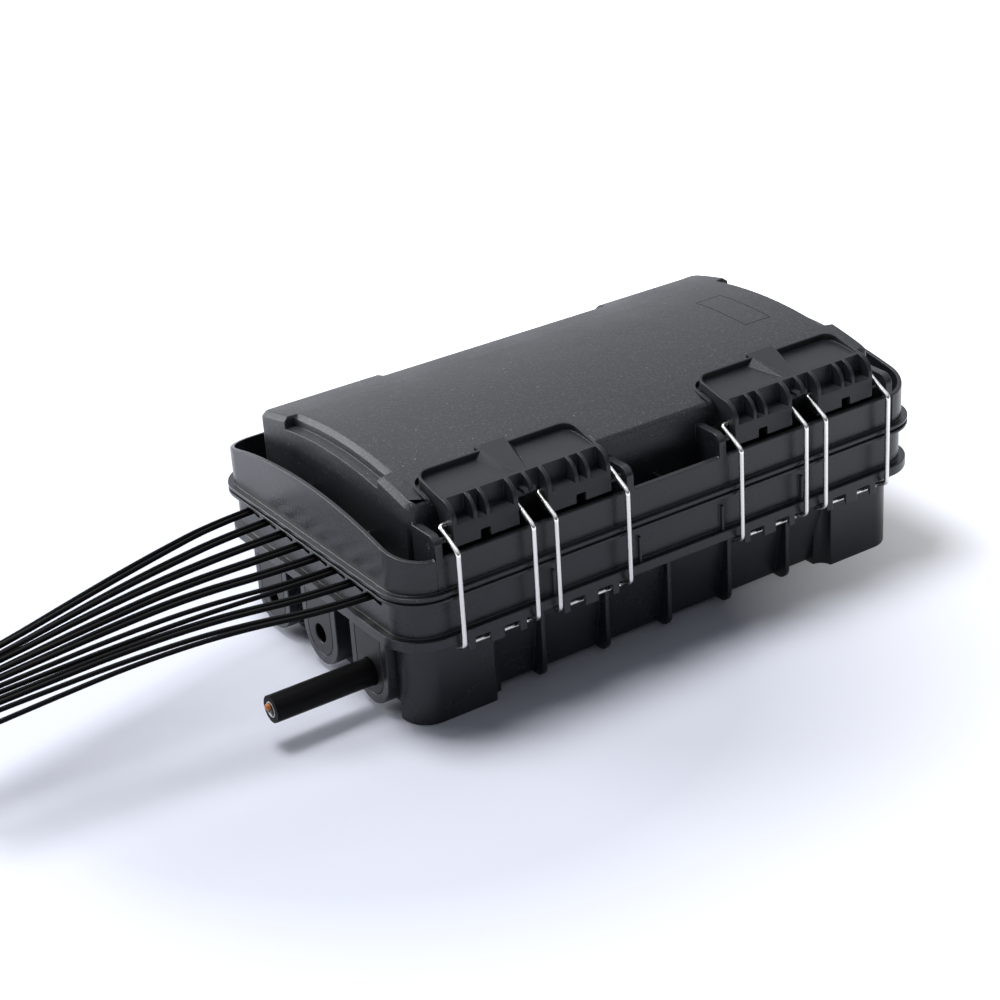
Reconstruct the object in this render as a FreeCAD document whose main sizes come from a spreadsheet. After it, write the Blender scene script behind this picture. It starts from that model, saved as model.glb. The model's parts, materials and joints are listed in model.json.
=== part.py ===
import FreeCAD, Part
import Sketcher
import math
import os
import re

# Fibre distribution box, closed, standing on its four corner feet.
# X runs along the length with the cable end at -X, -Y is the latched front, Z is up, millimetres.

doc = FreeCAD.newDocument("distribution_box")
sheet = doc.addObject("Spreadsheet::Sheet", "dims")

# Sizes that can be set by themselves
SIZES = (
    # lid flange, the widest outline of the box
    ("flange_len", "300"),
    ("flange_wid", "174"),
    ("flange_rad", "21"),
    ("flange_thk", "4.5"),
    ("seam_rise", "1.5"),
    ("seam_thk", "1.3"),
    ("seam_deep", "1.5"),
    # base heights
    ("foot_drop", "2"),
    ("hull_rise", "41"),
    ("low_thk", "5"),
    ("band_rise", "17.5"),
    # base insets from the lid flange
    ("band_inset", "4"),
    ("band_wall", "4"),
    ("low_inset", "0.5"),
    ("hull_top_in_x", "10.5"),
    ("hull_top_in_y", "13"),
    ("hull_bot_in_x", "14.5"),
    ("hull_bot_in_y", "20"),
    ("hull_wall", "2.6"),
    ("hull_rad", "16"),
    ("floor_thk", "3"),
    # corner feet
    ("foot_in_x", "9"),
    ("foot_in_y", "11"),
    ("foot_len", "42"),
    ("foot_wid", "15"),
    ("foot_rad", "13"),
    ("foot_flank", "6"),
    # fins on the long walls
    ("fin_pitch", "36"),
    ("fin_thk", "2.4"),
    ("fin_in", "11.5"),
    ("fin_rad", "6"),
    # small ribs on the band
    ("rib_pitch", "48"),
    ("rib_shift", "1.5"),
    ("rib_thk", "1.6"),
    ("rib_out", "1.6"),
    ("rib_top_gap", "5"),
    # cable notches in the end wall of the band
    ("notch_pitch", "15.8"),
    ("notch_wid", "11.6"),
    ("notch_deep", "6"),
    # trunk ports
    ("port_pitch", "44.5"),
    ("port_height", "18.8"),
    ("port_rad", "15.5"),
    ("port_face_in", "4.2"),
    ("plug_rad", "11"),
    ("plug_thk", "6"),
    ("neck_rad", "8.5"),
    ("neck_len", "14"),
    ("torn_rad", "4.8"),
    ("membrane", "1.6"),
    # lid collar and dome
    ("collar_inset", "3"),
    ("collar_wall", "2.2"),
    ("collar_mid", "27"),
    ("collar_arc", "297.6"),
    ("dome_in_x", "18.4"),
    ("dome_in_y", "20.4"),
    ("dome_rad", "4"),
    ("dome_rise", "43.2"),
    ("dome_arc", "260"),
    ("dome_wall", "2.6"),
    ("cave_drop", "15.5"),
    ("cave_half_x", "124"),
    ("cave_half_y", "46"),
    ("nest_deep", "2.6"),
    ("nest_gap", "2.5"),
    ("ledge_deep", "5.7"),
    ("ledge_wid", "5.6"),
    ("ledge_half_y", "41"),
    ("ledge_half_x", "65"),
    ("web_thk", "1.8"),
    ("web_rise", "9"),
    # gasket and drop-cable seals
    ("gasket_wid", "1.8"),
    ("gasket_thk", "1.8"),
    ("seal_thk", "5"),
    ("seal_half", "64"),
    ("seal_drop", "5"),
    ("tongue_in", "2.5"),
    # rear hinge
    ("hinge_x", "85"),
    ("hinge_out", "0.2"),
    ("knuckle_rad", "3.6"),
    ("knuckle_lid", "20"),
    ("knuckle_base", "8"),
    ("hinge_gap", "0.3"),
    ("hinge_pin_rad", "1.5"),
    # latch levers
    ("lever_x", "77.5"),
    ("lever_wid", "84"),
    ("lever_back", "35.5"),
    ("lever_proud", "4.15"),
    ("lever_slope", "0.22"),
    ("lever_front", "5"),
    ("lever_clear", "0.35"),
    ("lever_skin", "2"),
    ("lever_rim", "1.3"),
    ("lever_nose", "9"),
    ("lever_wall", "2.4"),
    ("lever_round", "7"),
    ("recess_back", "3.4"),
    ("recess_front", "1.2"),
    ("skirt_gap", "15.5"),
    ("skirt_tip", "17"),
    ("skirt_notch", "5"),
    ("skirt_notch_x", "25.4"),
    ("skirt_notch_rise", "4.2"),
    ("comb_rise", "27.1"),
    ("nose_deep", "7.5"),
    ("comb_a", "22.5"),
    ("comb_b", "29"),
    ("comb_thk", "2"),
    ("tab_back", "16.3"),
    ("tab_front", "6"),
    ("tab_over", "2.9"),
    ("tab_thk", "2.2"),
    ("shelf_half", "3.3"),
    ("shelf_rise", "1"),
    ("shelf_thk", "2"),
    ("shelf_in", "2"),
    # lever pins and their ears
    ("pin_in", "8"),
    ("pin_rise", "21"),
    ("pin_rad", "1.5"),
    ("ear_off", "51"),
    ("ear_thk", "4"),
    ("ear_rad", "5"),
    # wire bails
    ("wire_rad", "1.2"),
    ("wire_arm", "6"),
    ("wire_angle", "60"),
    ("leg_out", "45"),
    ("leg_in", "6"),
    ("leg_gap", "1.4"),
    ("leg_bend", "18.7"),
    ("wire_bend", "3"),
    ("tail_bend", "1.6"),
    ("tail_out", "5.2"),
    ("tail_in", "4"),
    ("bar_in", "5"),
    ("bar_drop", "4"),
    # hook rail that holds the bails
    ("hook_thk", "3.7"),
    ("hook_deep", "5.5"),
    ("hook_seat", "2"),
    ("hook_tip", "0.8"),
    ("hook_half", "15.5"),
    ("window_wid", "8"),
    ("window_off", "7.7"),
    # trunk cable and its clamp
    ("trunk_rad", "6.5"),
    ("trunk_out", "51"),
    ("trunk_in", "46"),
    ("clamp_off", "16"),
    ("clamp_len", "11"),
    ("clamp_wid", "28"),
    ("clamp_cap", "5"),
    ("screw_rad", "1.5"),
    ("screw_off", "10.5"),
    ("screw_len", "14"),
    ("clamp_screw", "22"),
    ("head_rad", "3"),
    ("head_thk", "2.2"),
    # drop cables and the bar they lie on
    ("drop_rad", "1.15"),
    ("drop_off", "1.6"),
    ("drop_low", "3.3"),
    ("tie_off", "31"),
    ("tie_wid", "6"),
    ("tie_thk", "4"),
    ("tie_half", "62"),
    ("tie_leg", "8"),
    # splice tray, cover, sleeves and splitter
    ("tray_x", "22"),
    ("tray_len", "170"),
    ("tray_wid", "112"),
    ("tray_deep", "11"),
    ("tray_wall", "1.8"),
    ("tray_rad", "20"),
    ("tray_seat", "34"),
    ("tray_post", "4.5"),
    ("tray_post_in", "25"),
    ("sleeve_rad", "1.4"),
    ("sleeve_len", "60"),
    ("sleeve_pitch", "5"),
    ("holder_wall", "1.4"),
    ("holder_len", "14"),
    ("cover_thk", "1.5"),
    ("splitter_len", "100"),
    ("splitter_wid", "80"),
    ("splitter_thk", "10"),
    # clearances
    ("fit", "0.05"),
    ("slack", "0.3"),
    ("seal_fit", "0.15"),
)

# Heights and positions that follow from the sizes
DERIVED = (
    ("half_x", "flange_len / 2"),
    ("half_y", "flange_wid / 2"),
    ("z_low", "foot_drop + hull_rise"),
    ("z_band", "z_low + low_thk"),
    ("z_part", "z_band + band_rise"),
    ("z_gut", "z_part + flange_thk"),
    ("z_dome", "z_gut + dome_rise"),
    ("z_in", "foot_drop + floor_thk"),
    ("band_x", "half_x - band_inset"),
    ("band_y", "half_y - band_inset"),
    ("in_x", "band_x - band_wall"),
    ("in_y", "band_y - band_wall"),
    ("dome_x", "half_x - dome_in_x"),
    ("dome_y", "half_y - dome_in_y"),
    ("collar_x", "half_x - collar_inset"),
    ("collar_y", "half_y - collar_inset"),
    ("hinge_y", "half_y + hinge_out"),
    ("pin_y", "-(half_y - pin_in)"),
    ("pin_z", "z_gut + pin_rise"),
    ("wire_y", "pin_y + wire_arm * cos(wire_angle)"),
    ("wire_z", "pin_z + wire_arm * sin(wire_angle)"),
    ("leg_y", "-(half_y + leg_gap + wire_rad)"),
    ("bar_y", "-(half_y - bar_in)"),
    ("bar_z", "z_low - bar_drop"),
    ("bail_mid", "(leg_out + leg_in) / 2"),
    ("cable_z", "z_part - drop_low"),
    ("face_x", "-(half_x - port_face_in)"),
    ("seal_x", "-band_x"),
    ("tie_x", "-band_x + tie_off"),
    ("clamp_x", "face_x + clamp_off"),
    ("trunk_y", "-port_pitch"),
    ("tray_z", "z_in + tray_seat"),
    ("tray_post_x", "tray_len / 2 - tray_post_in"),
    ("lev_y", "-(half_y - lever_back)"),
    ("lev_z", "z_dome - dome_arc + sqrt(dome_arc * dome_arc - lev_y * lev_y) + lever_proud"),
    ("lev_front", "-(half_y - lever_front)"),
    ("nose_y", "lev_front + lever_nose"),
    ("nose_z", "lev_z - (lev_y - nose_y) * lever_slope - lever_nose"),
    ("skirt_z", "z_gut + skirt_tip"),
    ("comb_z", "z_gut + comb_rise"),
    ("dome_edge", "z_dome - dome_arc + sqrt(dome_arc * dome_arc - dome_y * dome_y)"),
    ("cave_z", "z_dome - cave_drop"),
    ("clamp_z", "port_height + trunk_rad + clamp_cap"),
)

WORD = re.compile(r"[a-z][a-z0-9_]*")
FUNCTIONS = ("sin", "cos", "tan", "sqrt", "atan")


def bound(text):
    """Expression text with every word read from the sheet."""
    return WORD.sub(lambda m: m.group(0) if m.group(0) in FUNCTIONS else "dims." + m.group(0), text)


def value(text):
    """Number that an expression gives now."""
    number = sheet.evalExpression(bound(text))
    return float(getattr(number, "Value", number))


row = 1
for alias, number in SIZES:
    sheet.set("A%d" % row, alias)
    sheet.set("B%d" % row, number)
    sheet.setAlias("B%d" % row, alias)
    row += 1
for alias, formula in DERIVED:
    text = formula
    if alias in ("wire_y", "wire_z"):
        text = formula.replace("wire_angle)", "wire_angle * 1 deg)")
    sheet.set("A%d" % row, alias)
    sheet.set("B%d" % row, "=" + text)
    sheet.setAlias("B%d" % row, alias)
    row += 1
doc.recompute()


# Sketches

def origin_plane(body, role):
    for feature in body.Origin.OriginFeatures:
        if feature.Role == role:
            return feature
    raise ValueError(role)


def sketch_on(body, role, offset):
    """New sketch of a body on one of its own planes, moved along the plane's normal."""
    sketch = body.newObject("Sketcher::SketchObject", body.Name + "_sketch")
    sketch.AttachmentSupport = [(origin_plane(body, role), "")]
    sketch.MapMode = "FlatFace"
    sketch.setExpression("AttachmentOffset.Base.z", bound(offset))
    return sketch


def pin_point(sketch, geo, pos, x_text, y_text):
    """Ties one sketch point to the sheet in both directions."""
    for axis, kind, text in ((-2, "DistanceX", x_text), (-1, "DistanceY", y_text)):
        number = value(text)
        if text == "0":
            sketch.addConstraint(Sketcher.Constraint("PointOnObject", geo, pos, axis))
            continue
        index = sketch.addConstraint(Sketcher.Constraint(kind, -1, 1, geo, pos, number))
        sketch.setExpression("Constraints[%d]" % index, bound(text))


def outline(sketch, points):
    """Closed outline. A point is (x, y), or (x, y, radius) where an arc leads to it: radius with a
    leading minus sign turns right, without turns left."""
    count = len(points)
    spots = [FreeCAD.Vector(value(p[0]), value(p[1]), 0) for p in points]
    ends = []
    halves = []
    for i in range(count):
        a = spots[i]
        b = spots[(i + 1) % count]
        target = points[(i + 1) % count]
        if len(target) == 2:
            geo = sketch.addGeometry(Part.LineSegment(a, b))
            ends.append((geo, 1, 2))
            continue
        text = target[2]
        right = text.startswith("-")
        text = text.lstrip("-")
        radius = value(text)
        chord = b - a
        rise = math.sqrt(max(radius * radius - chord.Length ** 2 / 4.0, 0.0))
        side = FreeCAD.Vector(-chord.y, chord.x, 0)
        side.normalize()
        centre = (a + b) * 0.5 + side * (-rise if right else rise)
        first, last = (b, a) if right else (a, b)
        start = math.atan2(first.y - centre.y, first.x - centre.x)
        stop = math.atan2(last.y - centre.y, last.x - centre.x)
        if stop < start:
            stop += 2 * math.pi
        circle = Part.Circle(centre, FreeCAD.Vector(0, 0, 1), radius)
        geo = sketch.addGeometry(Part.ArcOfCircle(circle, start, stop))
        ends.append((geo, 2, 1) if right else (geo, 1, 2))
        if chord.Length > 1.999 * radius:
            halves.append((geo, target[1]))
            continue
        index = sketch.addConstraint(Sketcher.Constraint("Radius", geo, radius))
        sketch.setExpression("Constraints[%d]" % index, bound(text))
    for i in range(count):
        here = ends[i]
        there = ends[(i + 1) % count]
        sketch.addConstraint(Sketcher.Constraint("Coincident", here[0], here[2], there[0], there[1]))
    for i in range(count):
        pin_point(sketch, ends[i][0], ends[i][1], points[i][0], points[i][1])
    for geo, text in halves:
        index = sketch.addConstraint(Sketcher.Constraint("DistanceY", -1, 1, geo, 3, value(text)))
        sketch.setExpression("Constraints[%d]" % index, bound(text))


def box_points(x0, y0, x1, y1):
    return [(x0, y0), (x1, y0), (x1, y1), (x0, y1)]


def round_points(hx, hy, rad, cx="0"):
    """Rounded rectangle about (cx, 0)."""
    rad = "(%s)" % rad
    left = "%s - (%s)" % (cx, hx)
    right = "%s + (%s)" % (cx, hx)
    return [
        ("%s + %s" % (left, rad), "-(%s)" % hy, rad),
        ("%s - %s" % (right, rad), "-(%s)" % hy),
        (right, "-(%s) + %s" % (hy, rad), rad),
        (right, "%s - %s" % (hy, rad)),
        ("%s - %s" % (right, rad), hy, rad),
        ("%s + %s" % (left, rad), hy),
        (left, "%s - %s" % (hy, rad), rad),
        (left, "-(%s) + %s" % (hy, rad)),
    ]


def circle_at(sketch, x_text, y_text, rad_text):
    centre = FreeCAD.Vector(value(x_text), value(y_text), 0)
    geo = sketch.addGeometry(Part.Circle(centre, FreeCAD.Vector(0, 0, 1), value(rad_text)))
    pin_point(sketch, geo, 3, x_text, y_text)
    index = sketch.addConstraint(Sketcher.Constraint("Radius", geo, value(rad_text)))
    sketch.setExpression("Constraints[%d]" % index, bound(rad_text))


# Features

def new_body(name):
    body = doc.addObject("PartDesign::Body", name)
    body.Label = name
    return body


def pad(body, sketch, length):
    feature = body.newObject("PartDesign::Pad", body.Name + "_pad")
    feature.Profile = sketch
    feature.setExpression("Length", bound(length))
    return feature


def cut(body, sketch, length):
    """Pocket along the sketch's normal."""
    feature = body.newObject("PartDesign::Pocket", body.Name + "_pocket")
    feature.Profile = sketch
    feature.setExpression("Length", bound(length))
    feature.Reversed = True
    return feature


def loft(body, low, high, kind):
    feature = body.newObject("PartDesign::" + kind, body.Name + "_loft")
    feature.Profile = low
    feature.Sections = [high]
    feature.Ruled = True
    return feature


def shape_pad(body, role, offset, length, *outlines):
    sketch = sketch_on(body, role, offset)
    for points in outlines:
        outline(sketch, points)
    return pad(body, sketch, length)


def shape_cut(body, role, offset, length, *outlines):
    sketch = sketch_on(body, role, offset)
    for points in outlines:
        outline(sketch, points)
    return cut(body, sketch, length)


def turned(points, sx, sy):
    """Outline mirrored across X or Y; an arc turns the other way when one of them is mirrored."""
    result = []
    for p in points:
        x = p[0] if sx > 0 else "-(%s)" % p[0]
        y = p[1] if sy > 0 else "-(%s)" % p[1]
        if len(p) == 2:
            result.append((x, y))
        elif sx * sy > 0:
            result.append((x, y, p[2]))
        else:
            result.append((x, y, p[2].lstrip("-") if p[2].startswith("-") else "-" + p[2]))
    return result


def rod(name, radius, length, x, y, z, along_x=True):
    """Plain round rod from (x, y, z)."""
    piece = doc.addObject("Part::Cylinder", name)
    piece.Label = name
    piece.setExpression("Radius", bound(radius))
    piece.setExpression("Height", bound(length))
    if along_x:
        piece.Placement = FreeCAD.Placement(FreeCAD.Vector(), FreeCAD.Rotation(FreeCAD.Vector(0, 1, 0), 90))
    for axis, text in (("x", x), ("y", y), ("z", z)):
        piece.setExpression("Placement.Base." + axis, bound(text))
    return piece


pieces = []
LEVERS = (("left", "-lever_x"), ("right", "lever_x"))
BAILS = ("-lever_x - bail_mid", "-lever_x + bail_mid", "lever_x - bail_mid", "lever_x + bail_mid")
NOTCHES = ["(%s) * notch_pitch" % k for k in (-3.5, -2.5, -1.5, -0.5, 0.5, 1.5, 2.5, 3.5)]
PORTS = ("-port_pitch", "0", "port_pitch")

# Base tub: drafted hull, feet, fins, lower flange, band, ports, hook rail, hinge arms
base = new_body("base_tub")
pieces.append(base)
low = sketch_on(base, "XY_Plane", "foot_drop")
outline(low, round_points("half_x - hull_bot_in_x", "half_y - hull_bot_in_y", "hull_rad"))
high = sketch_on(base, "XY_Plane", "z_low")
outline(high, round_points("half_x - hull_top_in_x", "half_y - hull_top_in_y", "hull_rad"))
loft(base, low, high, "AdditiveLoft")
foot_x = "(half_x - foot_in_x)"
foot_y = "(half_y - foot_in_y)"
foot = [
    (foot_x, foot_y + " - foot_wid"),
    (foot_x, foot_y + " - foot_rad"),
    (foot_x + " - foot_rad", foot_y, "foot_rad"),
    (foot_x + " - foot_len", foot_y),
    (foot_x + " - foot_len - foot_flank", foot_y + " - foot_flank", "-foot_flank"),
    (foot_x + " - foot_len - foot_flank", foot_y + " - foot_wid"),
]
shape_pad(base, "XY_Plane", "0", "z_low",
          turned(foot, 1, 1), turned(foot, -1, 1), turned(foot, 1, -1), turned(foot, -1, -1))
fin_y = "(half_y - fin_in)"
fin_z = "foot_drop - 1"
fin = [
    ("half_y - hull_bot_in_y - 4", fin_z),
    (fin_y + " - fin_rad", fin_z),
    (fin_y, fin_z + " + fin_rad", "fin_rad"),
    (fin_y, "z_low"),
    ("half_y - hull_bot_in_y - 4", "z_low"),
]
fins = shape_pad(base, "YZ_Plane", "-2 * fin_pitch - fin_thk / 2", "fin_thk",
                 fin, turned(fin, -1, 1))
row_of_fins = base.newObject("PartDesign::LinearPattern", "base_tub_fins")
row_of_fins.Originals = [fins]
row_of_fins.Direction = (origin_plane(base, "X_Axis"), [""])
row_of_fins.setExpression("Length", bound("4 * fin_pitch"))
row_of_fins.Occurrences = 5
base.Tip = row_of_fins
shape_pad(base, "XY_Plane", "z_low", "low_thk",
          round_points("half_x - low_inset", "half_y - low_inset", "flange_rad"))
shape_pad(base, "XY_Plane", "z_band", "band_rise", round_points("band_x", "band_y", "flange_rad - band_inset"))
boss = []
for centre in PORTS:
    boss.append([
        (centre + " - port_rad", "z_low + 1"),
        (centre + " - port_rad", "port_height"),
        (centre + " + port_rad", "port_height", "port_rad"),
        (centre + " + port_rad", "z_low + 1"),
    ])
shape_pad(base, "YZ_Plane", "face_x", "hull_bot_in_x - port_face_in + hull_wall / 2", *boss)
band_ribs = []
for k in (-1.5, -0.5, 0.5, 1.5):
    mid = "rib_shift + (%s) * rib_pitch" % k
    band_ribs.append(box_points(mid + " - rib_thk / 2", "-band_y - rib_out", mid + " + rib_thk / 2", "-band_y + 1"))
shape_pad(base, "XY_Plane", "z_band - 1", "band_rise - rib_top_gap + 1", *band_ribs)
rail_y = "-(half_y - low_inset)"
hook = [
    (rail_y, "z_low - hook_deep"),
    (rail_y + " + hook_tip", "z_low - hook_deep"),
    (rail_y + " + hook_thk", "z_low + 1"),
    (rail_y, "z_low + 1"),
]
seats = []
windows = []
for mid in BAILS:
    shape_pad(base, "YZ_Plane", mid + " - hook_half", "2 * hook_half", hook)
    seats.append(box_points(mid + " - hook_half", rail_y, mid + " + hook_half", "-(half_y - hull_top_in_y - 1)"))
    for k in ("-", "+"):
        lo = "%s %s window_off - window_wid / 2" % (mid, k)
        windows.append(box_points(lo, rail_y + " - 1", lo + " + window_wid", rail_y + " + hook_thk + 1"))
shape_pad(base, "XY_Plane", "z_low - hook_seat", "hook_seat + 1", *seats)
shape_cut(base, "XY_Plane", "z_low - hook_deep - 1", "hook_deep + 1", *windows)
arm = [
    ("band_y - band_wall / 2", "z_part - 10"),
    ("hinge_y + knuckle_rad", "z_part - 6"),
    ("hinge_y + knuckle_rad", "z_part"),
    ("hinge_y - knuckle_rad", "z_part", "knuckle_rad"),
    ("band_y - band_wall / 2", "z_part"),
]
for side in (-1, 1):
    for end in ("-knuckle_lid / 2 - hinge_gap - knuckle_base", "knuckle_lid / 2 + hinge_gap"):
        shape_pad(base, "YZ_Plane", "(%d) * hinge_x + %s" % (side, end), "knuckle_base", arm)
low_in = sketch_on(base, "XY_Plane", "z_in")
outline(low_in, round_points("half_x - hull_bot_in_x - hull_wall", "half_y - hull_bot_in_y - hull_wall",
                             "hull_rad - hull_wall"))
high_in = sketch_on(base, "XY_Plane", "z_low")
outline(high_in, round_points("half_x - hull_top_in_x - hull_wall", "half_y - hull_top_in_y - hull_wall",
                              "hull_rad - hull_wall"))
loft(base, low_in, high_in, "SubtractiveLoft")
shape_cut(base, "XY_Plane", "z_low", "low_thk",
          round_points("half_x - hull_top_in_x - hull_wall", "half_y - hull_top_in_y - hull_wall",
                       "hull_rad - hull_wall"))
shape_cut(base, "XY_Plane", "z_band", "band_rise", round_points("in_x", "in_y", "flange_rad - band_inset - band_wall"))
notches = []
for mid in NOTCHES:
    notches.append(box_points(mid + " - notch_wid / 2", "z_part - notch_deep", mid + " + notch_wid / 2", "z_part + 1"))
shape_cut(base, "YZ_Plane", "-band_x - 1", "band_wall + 2", *notches)
plugs = []
for centre in PORTS:
    plugs.append([
        (centre + " - plug_rad", "z_low - hull_wall"),
        (centre + " - plug_rad", "port_height"),
        (centre + " + plug_rad", "port_height", "plug_rad"),
        (centre + " + plug_rad", "z_low - hull_wall"),
    ])
shape_cut(base, "YZ_Plane", "face_x", "plug_thk", *plugs)
bores = sketch_on(base, "YZ_Plane", "face_x")
for centre in PORTS:
    circle_at(bores, centre, "port_height", "neck_rad")
cut(base, bores, "neck_len + 4")
pivot = sketch_on(base, "YZ_Plane", "-hinge_x - knuckle_lid")
circle_at(pivot, "hinge_y", "z_part", "hinge_pin_rad + fit")
cut(base, pivot, "2 * hinge_x + 2 * knuckle_lid")
posts = sketch_on(base, "XY_Plane", "z_in - 1")
for k in (-1, 1):
    circle_at(posts, "tray_x + (%d) * tray_post_x" % k, "0", "tray_post")
pad(base, posts, "tray_seat + 1")
holes = sketch_on(base, "XY_Plane", "tray_z - screw_len")
for k in (-1, 1):
    circle_at(holes, "tray_x + (%d) * tray_post_x" % k, "0", "screw_rad + fit")
cut(base, holes, "screw_len")

# Lid: flange, collar, dome, ledges, webs, ears, hinge knuckles, gasket groove, cavity
def arch_z(arc, ridge, y):
    return "%s - (%s) + sqrt((%s) * (%s) - (%s) * (%s))" % (ridge, arc, arc, arc, y, y)


def arch_cut(body, arc, ridge, y0, y1, x0, length):
    """Takes away what lies above an arc across Y."""
    roof = "z_dome + 4"
    shape_cut(body, "YZ_Plane", x0, length, [
        (y0, roof),
        (y0, arch_z(arc, ridge, y0)),
        (y1, arch_z(arc, ridge, y1), "-(%s)" % arc),
        (y1, roof),
    ])


lid = new_body("lid")
pieces.append(lid)
shape_pad(lid, "XY_Plane", "z_part", "flange_thk", round_points("half_x", "half_y", "flange_rad"))
shape_cut(lid, "XY_Plane", "z_part + seam_rise", "seam_thk",
          round_points("half_x + 1", "half_y + 1", "flange_rad + 1"),
          round_points("half_x - seam_deep", "half_y - seam_deep", "flange_rad - seam_deep"))
shape_pad(lid, "XY_Plane", "z_part + 1", "flange_thk - 1 + collar_mid",
          round_points("collar_x", "collar_y", "flange_rad - collar_inset"),
          round_points("collar_x - collar_wall", "collar_y - collar_wall", "flange_rad - collar_inset - collar_wall"))
arch_cut(lid, "collar_arc", "z_gut + collar_mid", "-half_y", "half_y", "-half_x", "2 * half_x")
shape_pad(lid, "XY_Plane", "z_part + 1", "z_dome - z_part", round_points("dome_x", "dome_y", "dome_rad"))
arch_cut(lid, "dome_arc", "z_dome", "-half_y", "half_y", "-half_x", "2 * half_x")
for start in ("-dome_x - 1", "dome_x - ledge_wid"):
    arch_cut(lid, "dome_arc - ledge_deep", "z_dome - ledge_deep", "-ledge_half_y", "ledge_half_y", start,
             "ledge_wid + 1")
shape_cut(lid, "XY_Plane", "dome_edge - ledge_deep", "ledge_deep + 4",
          box_points("-ledge_half_x", "dome_y - ledge_wid", "ledge_half_x", "dome_y + 1"))
for side, mid in LEVERS:
    arch_cut(lid, "dome_arc - nest_deep", "z_dome - nest_deep", "-dome_y - 1", "lev_y + nest_gap",
             mid + " - lever_wid / 2 - nest_gap", "lever_wid + 2 * nest_gap")
webs = []
for sx in ("-", ""):
    for y in ("-30", "30"):
        lo, hi = ("dome_x - 1", "collar_x - 1")
        if sx:
            lo, hi = ("-collar_x + 1", "-dome_x + 1")
        webs.append(box_points(lo, y + " - web_thk / 2", hi, y + " + web_thk / 2"))
for x in ("-60", "0", "60"):
    webs.append(box_points(x + " - web_thk / 2", "dome_y - 1", x + " + web_thk / 2", "collar_y - 1"))
webs.append(box_points("-web_thk / 2", "-collar_y + 1", "web_thk / 2", "-dome_y + 1"))
shape_pad(lid, "XY_Plane", "z_gut - 1", "web_rise + 1", *webs)
ear = [
    ("-dome_y + 1", "z_gut - 1"),
    ("-dome_y + 1", "pin_z + ear_rad"),
    ("pin_y", "pin_z + ear_rad"),
    ("pin_y - ear_rad", "pin_z", "ear_rad"),
    ("pin_y - ear_rad", "z_gut - 1"),
]
for side, mid in LEVERS:
    for k in ("-", "+"):
        shape_pad(lid, "YZ_Plane", "%s %s ear_off - ear_thk / 2" % (mid, k), "ear_thk", ear)
ear_hole = sketch_on(lid, "YZ_Plane", "-half_x")
circle_at(ear_hole, "pin_y", "pin_z", "pin_rad + fit")
cut(lid, ear_hole, "2 * half_x")
gaps = []
for k in ("-", ""):
    for lo in ("%shinge_x - knuckle_lid / 2 - 2 * hinge_gap - knuckle_base" % k, "%shinge_x + knuckle_lid / 2" % k):
        gaps.append(box_points(lo, "hinge_y - knuckle_rad - hinge_gap", lo + " + knuckle_base + 2 * hinge_gap",
                               "half_y + 1"))
shape_cut(lid, "XY_Plane", "z_part - 1", "flange_thk + 1", *gaps)
knuckle = [
    ("hinge_y - 6", "z_part"),
    ("hinge_y - knuckle_rad", "z_part"),
    ("hinge_y + knuckle_rad", "z_part", "knuckle_rad"),
    ("hinge_y + 0.5", "z_gut"),
    ("hinge_y - 6", "z_gut"),
]
for k in ("-", ""):
    shape_pad(lid, "YZ_Plane", "%shinge_x - knuckle_lid / 2" % k, "knuckle_lid", knuckle)
lid_pivot = sketch_on(lid, "YZ_Plane", "-hinge_x - knuckle_lid")
circle_at(lid_pivot, "hinge_y", "z_part", "hinge_pin_rad + fit")
cut(lid, lid_pivot, "2 * hinge_x + 2 * knuckle_lid")
seal_line_x = "band_x - band_wall / 2"
seal_line_y = "band_y - band_wall / 2"
seal_corner = "flange_rad - band_inset - band_wall / 2"


def seal_ring(sign):
    return round_points("%s %s gasket_wid / 2" % (seal_line_x, sign), "%s %s gasket_wid / 2" % (seal_line_y, sign),
                        "%s %s gasket_wid / 2" % (seal_corner, sign))


shape_cut(lid, "XY_Plane", "z_part", "gasket_thk", seal_ring("+"), seal_ring("-"))
shape_cut(lid, "XY_Plane", "z_part", "cave_z - z_part",
          round_points("dome_x - dome_wall", "dome_y - dome_wall", "dome_rad - dome_wall"))
inner_arc = "dome_arc - dome_wall"
inner_top = "z_dome - dome_wall"
shape_cut(lid, "YZ_Plane", "-cave_half_x", "2 * cave_half_x", [
    ("-cave_half_y", "cave_z - 1"),
    ("cave_half_y", "cave_z - 1"),
    ("cave_half_y", arch_z(inner_arc, inner_top, "cave_half_y")),
    ("-cave_half_y", arch_z(inner_arc, inner_top, "cave_half_y"), "(%s)" % inner_arc),
])

# Gasket in the lid's groove
gasket = new_body("gasket")
pieces.append(gasket)
shape_pad(gasket, "XY_Plane", "z_part", "gasket_thk", seal_ring("+"), seal_ring("-"))

# Seals above and below the drop cables
lower = new_body("drop_seal_lower")
pieces.append(lower)
seal_z = "z_part - notch_deep"
shape_pad(lower, "XY_Plane", seal_z + " - seal_drop", "cable_z - z_part + notch_deep + seal_drop",
          box_points("-in_x", "-seal_half", "-in_x + seal_thk", "seal_half"))
tongues = []
for mid in NOTCHES:
    tongues.append(box_points("-band_x + tongue_in", mid + " - notch_wid / 2 + fit", "-in_x + 1",
                              mid + " + notch_wid / 2 - fit"))
shape_pad(lower, "XY_Plane", seal_z, "notch_deep - drop_low", *tongues)
channels = sketch_on(lower, "YZ_Plane", "-band_x - 1")
for mid in NOTCHES:
    for k in ("-", "+"):
        circle_at(channels, "%s %s drop_off" % (mid, k), "cable_z", "drop_rad + seal_fit")
cut(lower, channels, "band_wall + seal_thk + 3")
upper = new_body("drop_seal_upper")
pieces.append(upper)
shape_pad(upper, "XY_Plane", "cable_z + slack", "drop_low - slack",
          box_points("-in_x + 0.5", "-seal_half", "-in_x + seal_thk", "seal_half"))
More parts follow.
